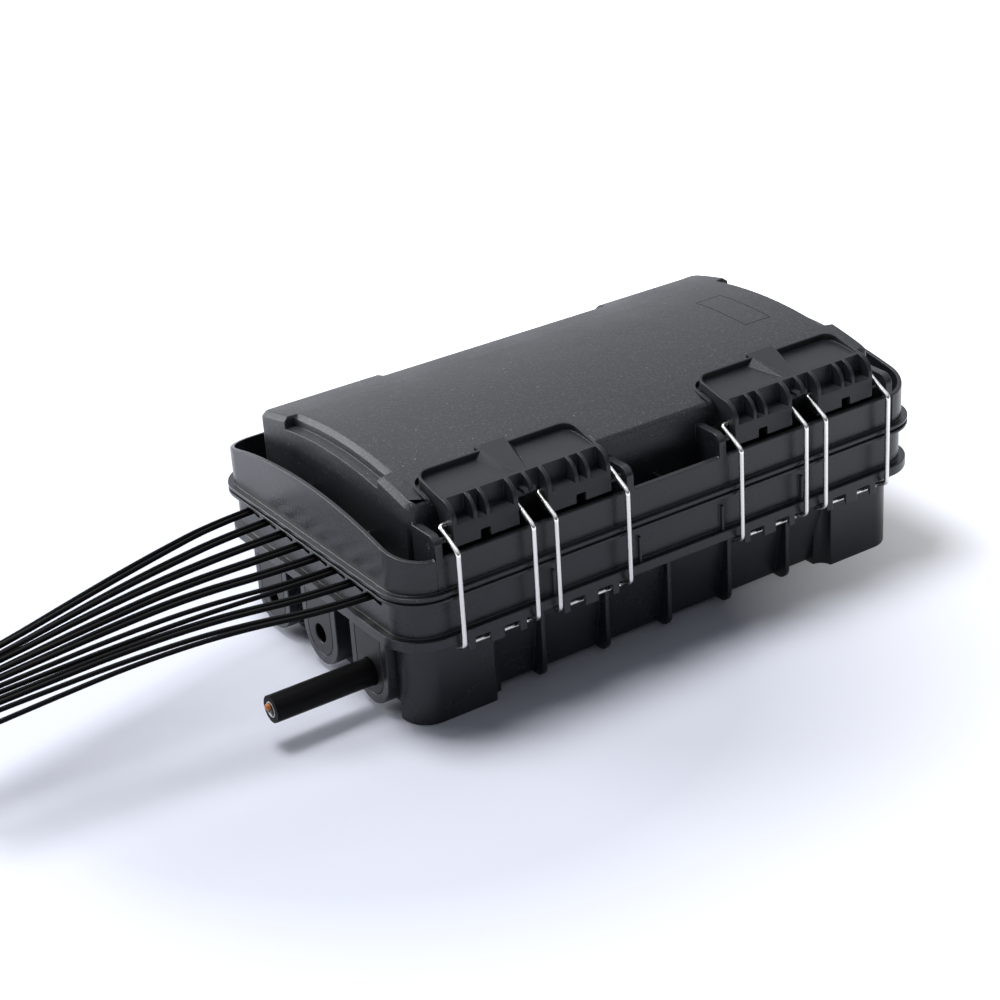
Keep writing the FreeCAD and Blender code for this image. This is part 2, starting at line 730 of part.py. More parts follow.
upper_channels = sketch_on(upper, "YZ_Plane", "-band_x - 1")
for mid in NOTCHES:
    for k in ("-", "+"):
        circle_at(upper_channels, "%s %s drop_off" % (mid, k), "cable_z", "drop_rad + slack")
cut(upper, upper_channels, "band_wall + seal_thk + 3")

# Port grommets; the first holds the trunk cable, the other two have a hole in a thin membrane
for number, centre in enumerate(PORTS, 1):
    grommet = new_body("grommet_%d" % number)
    pieces.append(grommet)
    edge = "(plug_rad - fit)"
    shape_pad(grommet, "YZ_Plane", "face_x", "plug_thk - fit", [
        (centre + " - " + edge, "z_low - hull_wall - fit"),
        (centre + " - " + edge, "port_height"),
        (centre + " + " + edge, "port_height", edge),
        (centre + " + " + edge, "z_low - hull_wall - fit"),
    ])
    neck = sketch_on(grommet, "YZ_Plane", "face_x + plug_thk / 2")
    circle_at(neck, centre, "port_height", "neck_rad - fit")
    pad(grommet, neck, "neck_len - plug_thk / 2")
    bore = sketch_on(grommet, "YZ_Plane", "face_x - 1" if number == 1 else "face_x + membrane")
    circle_at(bore, centre, "port_height", "trunk_rad + fit")
    cut(grommet, bore, "neck_len + 2")
    if number > 1:
        tear = sketch_on(grommet, "YZ_Plane", "face_x - 1")
        circle_at(tear, centre, "port_height", "torn_rad")
        cut(grommet, tear, "membrane + 2")

# Trunk clamp
lower_half = new_body("trunk_clamp_base")
upper_half = new_body("trunk_clamp_saddle")
for half, start, height in ((lower_half, "z_in", "port_height - z_in"),
                            (upper_half, "port_height", "trunk_rad + clamp_cap")):
    pieces.append(half)
    shape_pad(half, "XY_Plane", start, height,
              box_points("clamp_x", "trunk_y - clamp_wid / 2", "clamp_x + clamp_len", "trunk_y + clamp_wid / 2"))
    seat = sketch_on(half, "YZ_Plane", "clamp_x - 1")
    circle_at(seat, "trunk_y", "port_height", "trunk_rad + fit")
    cut(half, seat, "clamp_len + 2")
    drill = sketch_on(half, "XY_Plane", "clamp_z - clamp_screw - 1")
    for k in ("-", "+"):
        circle_at(drill, "clamp_x + clamp_len / 2", "trunk_y %s screw_off" % k, "screw_rad + fit")
    cut(half, drill, "clamp_screw + 2")


def screw(name, x, y, z, length):
    body = new_body(name)
    pieces.append(body)
    shank = sketch_on(body, "XY_Plane", "%s - %s" % (z, length))
    circle_at(shank, x, y, "screw_rad")
    pad(body, shank, length + " + head_thk / 2")
    head = sketch_on(body, "XY_Plane", z)
    circle_at(head, x, y, "head_rad")
    pad(body, head, "head_thk")
    slot = shape_cut(body, "XY_Plane", z + " + head_thk / 2", "head_thk",
                     box_points("%s - head_rad" % x, "%s - 0.4" % y, "%s + head_rad" % x, "%s + 0.4" % y))
    return slot


screw("clamp_screw_1", "clamp_x + clamp_len / 2", "trunk_y - screw_off", "clamp_z", "clamp_screw")
screw("clamp_screw_2", "clamp_x + clamp_len / 2", "trunk_y + screw_off", "clamp_z", "clamp_screw")

# Bar that carries the drop cables
tie = new_body("drop_tie_bar")
pieces.append(tie)
tie_top = "cable_z - drop_rad"
shape_pad(tie, "XY_Plane", tie_top + " - tie_thk", "tie_thk",
          box_points("tie_x - tie_wid / 2", "-tie_half", "tie_x + tie_wid / 2", "tie_half"))
shape_pad(tie, "XY_Plane", "z_in", "cable_z - drop_rad - z_in - tie_thk / 2",
          box_points("tie_x - tie_wid / 2", "-tie_half", "tie_x + tie_wid / 2", "-tie_half + tie_leg"),
          box_points("tie_x - tie_wid / 2", "tie_half - tie_leg", "tie_x + tie_wid / 2", "tie_half"))

# Splice tray, sleeves, cover, screws and splitter
tray = new_body("splice_tray")
pieces.append(tray)
shape_pad(tray, "XY_Plane", "tray_z", "tray_deep", round_points("tray_len / 2", "tray_wid / 2", "tray_rad", "tray_x"))
shape_cut(tray, "XY_Plane", "tray_z + tray_wall", "tray_deep",
          round_points("tray_len / 2 - tray_wall", "tray_wid / 2 - tray_wall", "tray_rad - tray_wall", "tray_x"))
sleeve_y = "tray_wid / 4"
holders = []
for i in range(7):
    line = "%s + (%s) * sleeve_pitch" % (sleeve_y, i - 3)
    holders.append(box_points("tray_x - holder_len / 2", line + " - holder_wall / 2", "tray_x + holder_len / 2",
                              line + " + holder_wall / 2"))
shape_pad(tray, "XY_Plane", "tray_z + tray_wall / 2", "tray_wall / 2 + 2 * sleeve_rad + 1", *holders)
tray_holes = sketch_on(tray, "XY_Plane", "tray_z - 1")
for k in (-1, 1):
    circle_at(tray_holes, "tray_x + (%d) * tray_post_x" % k, "0", "screw_rad + fit")
cut(tray, tray_holes, "tray_wall + 2")
screw("tray_screw_1", "tray_x - tray_post_x", "0", "tray_z + tray_wall", "screw_len")
screw("tray_screw_2", "tray_x + tray_post_x", "0", "tray_z + tray_wall", "screw_len")
for i in range(6):
    pieces.append(rod("sleeve_%d" % (i + 1), "sleeve_rad", "sleeve_len", "tray_x - sleeve_len / 2",
                      "%s + (%s) * sleeve_pitch" % (sleeve_y, i - 2.5), "tray_z + tray_wall + sleeve_rad"))
cover = new_body("tray_cover")
pieces.append(cover)
shape_pad(cover, "XY_Plane", "tray_z + tray_deep", "cover_thk",
          round_points("tray_len / 2", "tray_wid / 2", "tray_rad", "tray_x"))
splitter = new_body("splitter_module")
pieces.append(splitter)
shape_pad(splitter, "XY_Plane", "z_in", "splitter_thk",
          round_points("splitter_len / 2", "splitter_wid / 2", "2 * slack", "tray_x"))

# Hinge pins and lever pins
knuckles = "(knuckle_lid / 2 + hinge_gap + knuckle_base)"
pieces.append(rod("hinge_pin_left", "hinge_pin_rad", "2 * " + knuckles, "-hinge_x - " + knuckles, "hinge_y", "z_part"))
pieces.append(rod("hinge_pin_right", "hinge_pin_rad", "2 * " + knuckles, "hinge_x - " + knuckles, "hinge_y", "z_part"))
stub = "(ear_off + ear_thk / 2 - lever_wid / 2 + lever_wall - slack)"
PAIRED = []
for side, mid in LEVERS:
    near = rod("pin_%s_near" % side, "pin_rad", stub, mid + " - ear_off - ear_thk / 2", "pin_y", "pin_z")
    far = rod("pin_%s_far" % side, "pin_rad", stub, "%s + ear_off + ear_thk / 2 - %s" % (mid, stub), "pin_y", "pin_z")
    pair = doc.addObject("Part::Compound", "lever_pin_" + side)
    pair.Label = "lever_pin_" + side
    pair.Links = [near, far]
    pieces.append(pair)
    PAIRED.append(pair)


# Latch levers: tilted top with rim and thumb tab, ribbed nose, skirts with a gap for the inner wire legs
def top_z(y):
    return "(lev_z - (lev_y - (%s)) * lever_slope)" % y


SHELL = [
    ("lev_front", "skirt_z"),
    ("pin_y + 4", "skirt_z"),
    ("-dome_y - 3", "pin_z + 9"),
    ("-dome_y - lever_clear", "dome_edge - nest_deep + lever_clear"),
    ("lev_y", "lev_z - lever_proud - nest_deep + lever_clear"),
    ("lev_y", "lev_z"),
    ("nose_y", "nose_z + lever_nose"),
    ("lev_front", "nose_z", "lever_nose"),
]
under = "lev_front + nose_deep + lever_skin"
back = "lev_y - 2 * lever_wall"
HOLLOW = [
    ("lev_front + lever_wall", "skirt_z - 1"),
    (back, "skirt_z - 1"),
    (back, top_z(back) + " - recess_back - lever_skin"),
    ("nose_y", top_z("nose_y") + " - recess_front - lever_skin"),
    (under, "nose_z + lever_skin"),
    (under, "comb_z - lever_skin / 2"),
    ("lev_front + lever_wall", "comb_z - lever_skin - 1"),
]
rim_back = "lev_y - lever_rim"
rim_front = "nose_y + 1"
RECESS = [
    (rim_front, top_z(rim_front) + " - recess_front"),
    (rim_back, top_z(rim_back) + " - recess_back"),
    (rim_back, top_z(rim_back) + " + 3"),
    (rim_front, top_z(rim_front) + " + 3"),
]
rib_up = "(shelf_rise + shelf_thk / 2)"
SECTOR = [
    ("nose_y - sqrt(lever_nose * lever_nose - %s * %s)" % (rib_up, rib_up), "nose_z + " + rib_up, "lever_nose"),
    ("nose_y", "nose_z + " + rib_up),
    ("nose_y", "nose_z + lever_nose"),
]
ABOVE = [
    (rim_front, top_z(rim_front)),
    ("lev_y + 1", top_z("lev_y + 1")),
    ("lev_y + 1", "lev_z + 9"),
    (rim_front, "lev_z + 9"),
]


def corner_cut(x0, y0, rad, left):
    """Outline outside a rounded rear corner at (x0, y0)."""
    if left:
        return [(x0 + " - 1", "%s - %s" % (y0, rad)), (x0 + " - 1", y0 + " + 1"), ("%s + %s" % (x0, rad), y0 + " + 1"),
                ("%s + %s" % (x0, rad), y0), (x0, "%s - %s" % (y0, rad), rad)]
    return [("%s - %s" % (x0, rad), y0 + " + 1"), (x0 + " + 1", y0 + " + 1"), (x0 + " + 1", "%s - %s" % (y0, rad)),
            (x0, "%s - %s" % (y0, rad)), ("%s - %s" % (x0, rad), y0, rad)]


def tab_half(y):
    """Half width of the thumb tab, which narrows to the front."""
    share = "((%s) - (%s)) / (lev_y + tab_over - (%s))" % (y, rim_front, rim_front)
    return "(tab_front + (tab_back - tab_front) * %s) / 2" % share


for side, mid in LEVERS:
    lever = new_body("lever_" + side)
    pieces.append(lever)
    edge_l = mid + " - lever_wid / 2"
    edge_r = mid + " + lever_wid / 2"
    shape_pad(lever, "YZ_Plane", edge_l, "lever_wid", SHELL)
    shape_cut(lever, "XY_Plane", "skirt_z", "lev_z - skirt_z + 4",
              corner_cut(edge_l, "lev_y", "lever_round", True), corner_cut(edge_r, "lev_y", "lever_round", False))
    inner = "(skirt_gap / 2 + lever_wall)"
    side_span = "lever_wid / 2 - lever_wall - %s" % inner
    shape_cut(lever, "YZ_Plane", mid + " - lever_wid / 2 + lever_wall", side_span, HOLLOW)
    shape_cut(lever, "YZ_Plane", mid + " - skirt_gap / 2", "skirt_gap", HOLLOW)
    shape_cut(lever, "YZ_Plane", "%s + %s" % (mid, inner), side_span, HOLLOW)
    slot_x0 = mid + " - skirt_gap / 2"
    slot_x1 = mid + " + skirt_gap / 2"
    shape_cut(lever, "XY_Plane", "skirt_z - 1", "lev_z - skirt_z + 2",
              box_points(slot_x0, "lev_front - 1", slot_x1, "lev_front + nose_deep"))
    pockets = []
    notches = []
    for k in ("-", "+"):
        for a, b in ((inner, "comb_a"), ("comb_a + comb_thk", "comb_b"),
                     ("comb_b + comb_thk", "lever_wid / 2 - lever_wall")):
            near = "%s %s (%s)" % (mid, k, a)
            far = "%s %s (%s)" % (mid, k, b)
            if k == "-":
                near, far = far, near
            pockets.append(box_points(near, "lev_front - 1", far, "lev_front + nose_deep"))
        spot = "%s %s skirt_notch_x" % (mid, k)
        notches.append(box_points(spot + " - skirt_notch / 2", "lev_front - 1", spot + " + skirt_notch / 2",
                                  "lev_front + lever_wall + 0.5"))
    shape_cut(lever, "XY_Plane", "comb_z", "lev_z - comb_z", *pockets)
    shape_cut(lever, "XY_Plane", "skirt_z - 1", "skirt_notch_rise + 1", *notches)
    shape_cut(lever, "YZ_Plane", edge_l + " + lever_rim", "lever_wid - 2 * lever_rim", RECESS)
    inner_rad = "(lever_round - lever_rim)"
    fill_l = corner_cut(edge_l + " + lever_rim", rim_back, inner_rad, True)
    fill_r = corner_cut(edge_r + " - lever_rim", rim_back, inner_rad, False)
    fill_l[0] = (edge_l + " + lever_rim / 2", fill_l[0][1])
    fill_l[1] = (edge_l + " + lever_rim / 2", rim_back + " + lever_rim / 2")
    fill_l[2] = (fill_l[2][0], rim_back + " + lever_rim / 2")
    fill_r[0] = (fill_r[0][0], rim_back + " + lever_rim / 2")
    fill_r[1] = (edge_r + " - lever_rim / 2", rim_back + " + lever_rim / 2")
    fill_r[2] = (edge_r + " - lever_rim / 2", fill_r[2][1])
    shape_pad(lever, "XY_Plane", top_z(rim_back) + " - recess_back - 1", "recess_back + 2", fill_l, fill_r)
    shape_cut(lever, "XY_Plane", "skirt_z", "lev_z - skirt_z + 4",
              corner_cut(edge_l, "lev_y", "lever_round", True), corner_cut(edge_r, "lev_y", "lever_round", False))
    shape_cut(lever, "YZ_Plane", edge_l, "lever_wid", ABOVE)
    shape_pad(lever, "YZ_Plane", mid + " - comb_thk / 2", "comb_thk", SECTOR)
    shape_pad(lever, "XY_Plane", "nose_z + shelf_rise", "shelf_thk",
              box_points(mid + " - shelf_half", "lev_front + shelf_in", mid + " + shelf_half",
                         "lev_front + nose_deep + lever_skin / 2"))
    for start, thk in (("lev_y + tab_over", "tab_thk"), (rim_back + " + lever_rim / 2", "recess_back + 1")):
        ends = []
        for y, deep in ((start, thk), (rim_front, "recess_front + 1")):
            end = sketch_on(lever, "XZ_Plane", "-(%s)" % y)
            outline(end, box_points("%s - %s" % (mid, tab_half(y)), "%s - (%s)" % (top_z(y), deep),
                                    "%s + %s" % (mid, tab_half(y)), top_z(y)))
            ends.append(end)
        loft(lever, ends[0], ends[1], "AdditiveLoft")
    for start in (edge_l + " - 1", edge_r + " - lever_wall"):
        hole = sketch_on(lever, "YZ_Plane", start)
        circle_at(hole, "pin_y", "pin_z", "pin_rad + fit")
        cut(lever, hole, "lever_wall + 1")
    for start in (edge_l + " - 1", edge_r + " - lever_wall", "%s - %s" % (mid, inner), mid + " + skirt_gap / 2 - 1"):
        hole = sketch_on(lever, "YZ_Plane", start)
        circle_at(hole, "wire_y", "wire_z", "wire_rad + fit")
        cut(lever, hole, "lever_wall + 1")


# Swept rods: straight runs joined by tangent arcs
def rounded_wire(points, radii):
    edges = []
    start = points[0]
    for i in range(1, len(points) - 1):
        before = (points[i - 1] - points[i]).normalize()
        after = (points[i + 1] - points[i]).normalize()
        turn = math.pi - before.getAngle(after)
        reach = radii[i - 1] * math.tan(turn / 2)
        first = points[i] + before * reach
        last = points[i] + after * reach
        inward = (before + after).normalize()
        centre = points[i] + inward * (radii[i - 1] / math.cos(turn / 2))
        middle = centre - inward * radii[i - 1]
        edges.append(Part.LineSegment(start, first).toShape())
        edges.append(Part.Arc(first, middle, last).toShape())
        start = last
    edges.append(Part.LineSegment(start, points[-1]).toShape())
    return Part.Wire(edges)


def swept(name, points, radii, radius):
    wire = rounded_wire(points, radii)
    circle = Part.Circle(points[0], points[1] - points[0], radius)
    profile = Part.Wire([circle.toShape()])
    shape = wire.makePipeShell([profile], True, False)
    wanted = math.pi * radius * radius * wire.Length
    if abs(shape.Volume - wanted) > 0.02 * wanted:
        raise ValueError("%s: volume %.1f, wanted %.1f" % (name, shape.Volume, wanted))
    piece = doc.addObject("Part::Feature", name)
    piece.Label = name
    piece.Shape = shape
    pieces.append(piece)
    return piece


# Wire bails: two legs, a bar under the hook rail, tails turned into the lever
number = 0
for side, mid in LEVERS:
    for k in (-1, 1):
        number += 1
        out_x = value(mid) + k * value("leg_out")
        in_x = value(mid) + k * value("leg_in")
        eye = (value("wire_y"), value("wire_z"))
        path = (eye, (value("leg_y"), value("z_gut + leg_bend")), (value("leg_y"), value("z_low")),
                (value("bar_y"), value("bar_z")))
        route = [FreeCAD.Vector(out_x - k * value("tail_out"), eye[0], eye[1])]
        route += [FreeCAD.Vector(out_x, y, z) for y, z in path]
        route += [FreeCAD.Vector(in_x, y, z) for y, z in reversed(path)]
        route.append(FreeCAD.Vector(in_x + k * value("tail_in"), eye[0], eye[1]))
        bend = value("wire_bend")
        small = value("tail_bend")
        swept("bail_%d" % number, route, [small, bend, bend, 1.8, 1.8, bend, bend, small], value("wire_rad"))

# Trunk cable, a straight cut stub
pieces.append(rod("trunk_cable", "trunk_rad", "trunk_out + trunk_in", "face_x - trunk_out", "trunk_y", "port_height"))

# Drop cables: two to a notch, lying across the tie bar and fanning out over the cable end
DROP_X = (-114.0, -161.0, -208.0, -250.0, -290.0, -328.0)
# sideways position and height lost at each outer point, one row to a cable from the front to the rear
DROP_FAN = (
    (-42.0, 1.1, -36.6, 2.7, -36.9, 4.5, -37.9, 6.4),
    (-37.0, 1.3, -30.6, 3.3, -28.2, 5.5, -26.3, 7.8),
    (-28.7, 1.1, -24.2, 2.8, -23.7, 4.7, -23.5, 6.6),
    (-24.6, 1.4, -19.9, 3.5, -18.6, 5.9, -18.0, 8.2),
    (-19.8, 1.1, -17.3, 2.6, -16.2, 4.6, -15.7, 6.6),
    (-12.0, 1.4, -9.0, 3.6, -8.4, 6.3, -7.6, 9.0),
    (-2.4, 1.1, -3.3, 2.7, -6.1, 4.3, -8.1, 6.0),
    (2.4, 1.5, 2.1, 3.8, -0.4, 6.8, -2.1, 9.2),
    (8.6, 1.1, 5.2, 2.7, 0.8, 4.3, -2.4, 6.4),
    (13.2, 1.5, 10.2, 3.7, 5.8, 6.5, 2.9, 9.2),
    (20.0, 1.2, 15.0, 2.8, 8.2, 4.6, 3.4, 6.4),
    (24.2, 1.7, 19.4, 4.4, 12.7, 7.0, 8.2, 9.0),
    (30.0, 0.9, 21.3, 2.1, 12.2, 4.0, 6.1, 6.6),
    (34.3, 1.4, 25.6, 3.6, 16.6, 6.5, 10.9, 9.2),
    (41.5, 1.2, 30.0, 2.8, 18.5, 4.4, 10.9, 6.3),
    (46.1, 1.5, 34.3, 3.6, 23.0, 6.2, 15.8, 8.8),
)
for i, fan in enumerate(DROP_FAN):
    lead = value("%s + (%d) * drop_off" % (NOTCHES[i // 2], 2 * (i % 2) - 1))
    across = (lead, lead) + fan[0::2]
    sinks = (0.0, 0.0) + fan[1::2]
    route = []
    for x, y, sink in zip(DROP_X, across, sinks):
        route.append(FreeCAD.Vector(x, y, value("cable_z") - sink))
    radii = []
    for j in range(1, len(route) - 1):
        before = route[j] - route[j - 1]
        after = route[j + 1] - route[j]
        turn = before.getAngle(after)
        radii.append(0.45 * min(before.Length, after.Length) / math.tan(turn / 2))
    swept("drop_%02d" % (i + 1), route, radii, value("drop_rad"))

# Checks and export
doc.recompute()
faults = [t.Label for t in doc.Objects if "Invalid" in t.State or "Error" in t.State]
if faults:
    raise ValueError("not built: " + ", ".join(faults))
for thing in doc.Objects:
    if hasattr(thing, "BaseFeature") and thing.BaseFeature and thing.isDerivedFrom("PartDesign::Feature"):
        if abs(thing.Shape.Volume - thing.BaseFeature.Shape.Volume) < 0.5:
            raise ValueError("%s changed nothing" % thing.Label)
os.makedirs("parts", exist_ok=True)
for piece in pieces:
    shape = piece.Shape
    wanted = 2 if piece in PAIRED else 1
    if shape.isNull() or not shape.isValid() or len(shape.Solids) != wanted:
        raise ValueError("%s: bad shape, %d solids" % (piece.Label, len(shape.Solids)))
    shape.exportStep("parts/%s.step" % piece.Label)
    print("%-20s %10.0f" % (piece.Label, shape.Volume))
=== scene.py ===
import json
import math

import bmesh
import bpy
from mathutils import Matrix, Vector


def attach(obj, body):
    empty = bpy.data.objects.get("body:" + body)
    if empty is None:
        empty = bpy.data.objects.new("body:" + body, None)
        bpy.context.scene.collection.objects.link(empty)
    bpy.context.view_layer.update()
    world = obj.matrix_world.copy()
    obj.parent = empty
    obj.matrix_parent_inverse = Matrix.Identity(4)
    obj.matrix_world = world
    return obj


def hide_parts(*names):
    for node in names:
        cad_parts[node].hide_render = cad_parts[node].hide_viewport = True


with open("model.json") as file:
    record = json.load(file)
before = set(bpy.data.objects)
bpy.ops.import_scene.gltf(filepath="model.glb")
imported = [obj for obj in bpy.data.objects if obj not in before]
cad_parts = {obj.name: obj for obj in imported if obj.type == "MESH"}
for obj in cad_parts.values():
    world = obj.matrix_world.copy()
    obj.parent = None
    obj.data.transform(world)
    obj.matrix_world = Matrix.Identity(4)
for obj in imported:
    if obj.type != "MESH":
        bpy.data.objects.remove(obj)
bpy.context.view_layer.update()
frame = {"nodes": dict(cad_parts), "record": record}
MM = 0.001


def link(obj):
    bpy.context.scene.collection.objects.link(obj)
    return obj


# Camera of the photograph: its place in metres, its three directions, and the lens in millimetres
EYE = (-0.5705, -0.8309, 0.5420)
RIGHT = (0.82630, -0.56004, -0.05983)
UP = (0.29406, 0.33836, 0.89389)
BACK = (-0.48037, -0.75622, 0.44427)
SENSOR_WIDTH = 36.0
FOCAL_LENGTH = 82.8
VIEW_DEPTH = 20.0

lens = bpy.data.cameras.new("photo_camera")
lens.sensor_width = SENSOR_WIDTH
lens.lens = FOCAL_LENGTH
lens.clip_end = VIEW_DEPTH
camera = link(bpy.data.objects.new("photo_camera", lens))
directions = Matrix((RIGHT, UP, BACK)).transposed().to_4x4()
camera.matrix_world = Matrix.Translation(EYE) @ directions
bpy.context.scene.camera = camera
bpy.context.scene.view_settings.view_transform = "Standard"


# Shader nodes
def add(tree, kind, **values):
    """New node with its settings; a key that names an input sets that input."""
    node = tree.nodes.new(kind)
    for key, value in values.items():
        label = key.replace("_", " ")
        if label in node.inputs:
            node.inputs[label].default_value = value
        else:
            setattr(node, key, value)
    return node


def math_node(tree, operation, a, b=0.0):
    node = add(tree, "ShaderNodeMath", operation=operation)
    for i, item in enumerate((a, b)):
        if isinstance(item, (int, float)):
            node.inputs[i].default_value = item
        else:
            tree.links.new(item, node.inputs[i])
    return node.outputs[0]


def place(tree):
    """Where a point lies on its piece."""
    return add(tree, "ShaderNodeTexCoord").outputs["Object"]


def axes(tree, vector):
    """The X, Y and Z of a vector, by name."""
    node = add(tree, "ShaderNodeSeparateXYZ")
    tree.links.new(vector, node.inputs["Vector"])
    return node.outputs


def noise(tree, where, **values):
    node = add(tree, "ShaderNodeTexNoise", **values)
    tree.links.new(where, node.inputs["Vector"])
    return node


# A cloudy value counts as low below the first number and as high above the second
CLOUD_RANGE = (0.3, 0.7)


def ramp(tree, fac, low, high):
    """Colour that follows a cloudy value."""
    node = add(tree, "ShaderNodeValToRGB")
    for stop, position, colour in zip(node.color_ramp.elements, CLOUD_RANGE, (low, high)):
        stop.position = position
        stop.color = (*colour, 1.0)
    tree.links.new(fac, node.inputs["Fac"])
    return node.outputs["Color"]


def spread(tree, fac, low, high, start=CLOUD_RANGE[0], end=CLOUD_RANGE[1]):
    """Number that goes from low to high while a value goes from start to end."""
    node = add(tree, "ShaderNodeMapRange", From_Min=start, From_Max=end, To_Min=low, To_Max=high)
    tree.links.new(fac, node.inputs["Value"])
    return node.outputs["Result"]


# Sockets of a colour mix, which share their names with those of other kinds
MIX_FAC, MIX_UNDER, MIX_OVER, MIX_RESULT = 0, 6, 7, 2


def mixed(tree, fac, under, over):
    node = add(tree, "ShaderNodeMix", data_type="RGBA")
    tree.links.new(fac, node.inputs[MIX_FAC])
    tree.links.new(under, node.inputs[MIX_UNDER])
    node.inputs[MIX_OVER].default_value = (*over, 1.0)
    return node.outputs[MIX_RESULT]


def bump(tree, shader, height, strength, distance):
    node = add(tree, "ShaderNodeBump", Strength=strength, Distance=distance)
    tree.links.new(height, node.inputs["Height"])
    tree.links.new(node.outputs["Normal"], shader.inputs["Normal"])


# Effects that several materials share
FINE_GRAIN = 2600.0
CLOUD_SCALE = 22.0
SPECK_SCALE = 420.0
SPECK_SIZE = 0.15
PATCH_SCALE = 38.0


def group(name, entry, default, results):
    """Node group with one number in."""
    tree = bpy.data.node_groups.new(name, "ShaderNodeTree")
    tree.interface.new_socket(entry, in_out="INPUT", socket_type="NodeSocketFloat").default_value = default
    for label in results:
        tree.interface.new_socket(label, in_out="OUTPUT", socket_type="NodeSocketFloat")
    return tree, tree.nodes.new("NodeGroupInput").outputs[entry], tree.nodes.new("NodeGroupOutput").inputs


def moulded_grain():
    """Fine moulded grain: height for a bump, and a slow cloud for tone and gloss."""
    tree, scale, results = group("moulded_grain", "Grain", FINE_GRAIN, ("Height", "Cloud"))
    where = place(tree)
    grain = noise(tree, where, Detail=3.0, Roughness=0.6)
    tree.links.new(scale, grain.inputs["Scale"])
    cloud = noise(tree, where, Scale=CLOUD_SCALE, Detail=4.0, Roughness=0.55)
    tree.links.new(grain.outputs["Fac"], results["Height"])
    tree.links.new(cloud.outputs["Fac"], results["Cloud"])
    return tree


def dust_specks():
    """Scattered pale specks, thicker in patches."""
    tree, amount, results = group("dust_specks", "Amount", 0.1, ("Mask",))
    where = place(tree)
    cells = add(tree, "ShaderNodeTexVoronoi", Scale=SPECK_SCALE, Randomness=1.0)
    tree.links.new(where, cells.inputs["Vector"])
    patch = noise(tree, where, Scale=PATCH_SCALE, Detail=3.0)
    chance = add(tree, "ShaderNodeSeparateColor")
    tree.links.new(cells.outputs["Color"], chance.inputs["Color"])
    size = math_node(tree, "MULTIPLY", chance.outputs["Red"], SPECK_SIZE)
    near = math_node(tree, "LESS_THAN", cells.outputs["Distance"], size)
    share = math_node(tree, "MULTIPLY", patch.outputs["Fac"], amount)
    chosen = math_node(tree, "LESS_THAN", chance.outputs["Green"], share)
    tree.links.new(math_node(tree, "MULTIPLY", near, chosen), results["Mask"])
    return tree


GRAIN = moulded_grain()
DUST = dust_specks()

# Label frame engraved in the lid top, in metres: its middle, its half sizes and its line, whose near black is
# painted shade in the groove
FRAME_X = 100.75 * MM
FRAME_HALF_X = 7.75 * MM
FRAME_Y = -0.7 * MM
FRAME_HALF_Y = 19.3 * MM
FRAME_LINE = (0.15 * MM, 0.4 * MM)
FRAME_ABOVE = 0.105
FRAME_UPWARD = 0.5
FRAME_GROOVE_SHADE = (0.001, 0.001, 0.001)
FRAME_ROUGH = 0.4
FRAME_DEEP = 6.0
# The lid top starts between these heights; the collar below is smoother by this much roughness
TOP_STARTS = (0.093, 0.099)
COLLAR_POLISH = 0.15
# The high grains of the lid top are painted pale: painted glints that stand in for the light these grains
# catch
GLINT_GRAINS = (0.52, 0.68)
GRAIN_GLINT_TONE = (0.085, 0.086, 0.088)
DUST_TONE = (0.2, 0.2, 0.19)
GRAIN_DEPTH = 0.2 * MM
# Scratches of drawn steel
SCRATCH_SCALE = 900.0
SCRATCH_SHADE = 0.82
SCRATCH_SMOOTH = 0.06
SCRATCH_ROUGH = 0.08
SCRATCH_STRENGTH = 0.15
SCRATCH_DEPTH = 0.1 * MM


def finish_of(name, colour, rough, metallic=0.0):
    """New material with its node tree and its shader."""
    material = bpy.data.materials.new(name)
    material.use_nodes = True
    shader = material.node_tree.nodes["Principled BSDF"]
    shader.inputs["Base Color"].default_value = (*colour, 1.0)
    shader.inputs["Roughness"].default_value = rough
    shader.inputs["Metallic"].default_value = metallic
    return material, material.node_tree, shader


def label_frame(tree):
    """Thin engraved rectangle on the lid top, as a mask."""
    point = add(tree, "ShaderNodeTexCoord")
    spot = axes(tree, point.outputs["Object"])
    lean = axes(tree, point.outputs["Normal"])
    beside = []
    for axis, centre, half in (("X", FRAME_X, FRAME_HALF_X), ("Y", FRAME_Y, FRAME_HALF_Y)):
        off = math_node(tree, "ABSOLUTE", math_node(tree, "SUBTRACT", spot[axis], centre))
        beside.append(math_node(tree, "SUBTRACT", off, half))
    off_line = math_node(tree, "ABSOLUTE", math_node(tree, "MAXIMUM", *beside))
    line = spread(tree, off_line, 1.0, 0.0, *FRAME_LINE)
    on_top = math_node(tree, "MULTIPLY", math_node(tree, "GREATER_THAN", spot["Z"], FRAME_ABOVE),
                       math_node(tree, "GREATER_THAN", lean["Z"], FRAME_UPWARD))
    return math_node(tree, "MULTIPLY", line, on_top)


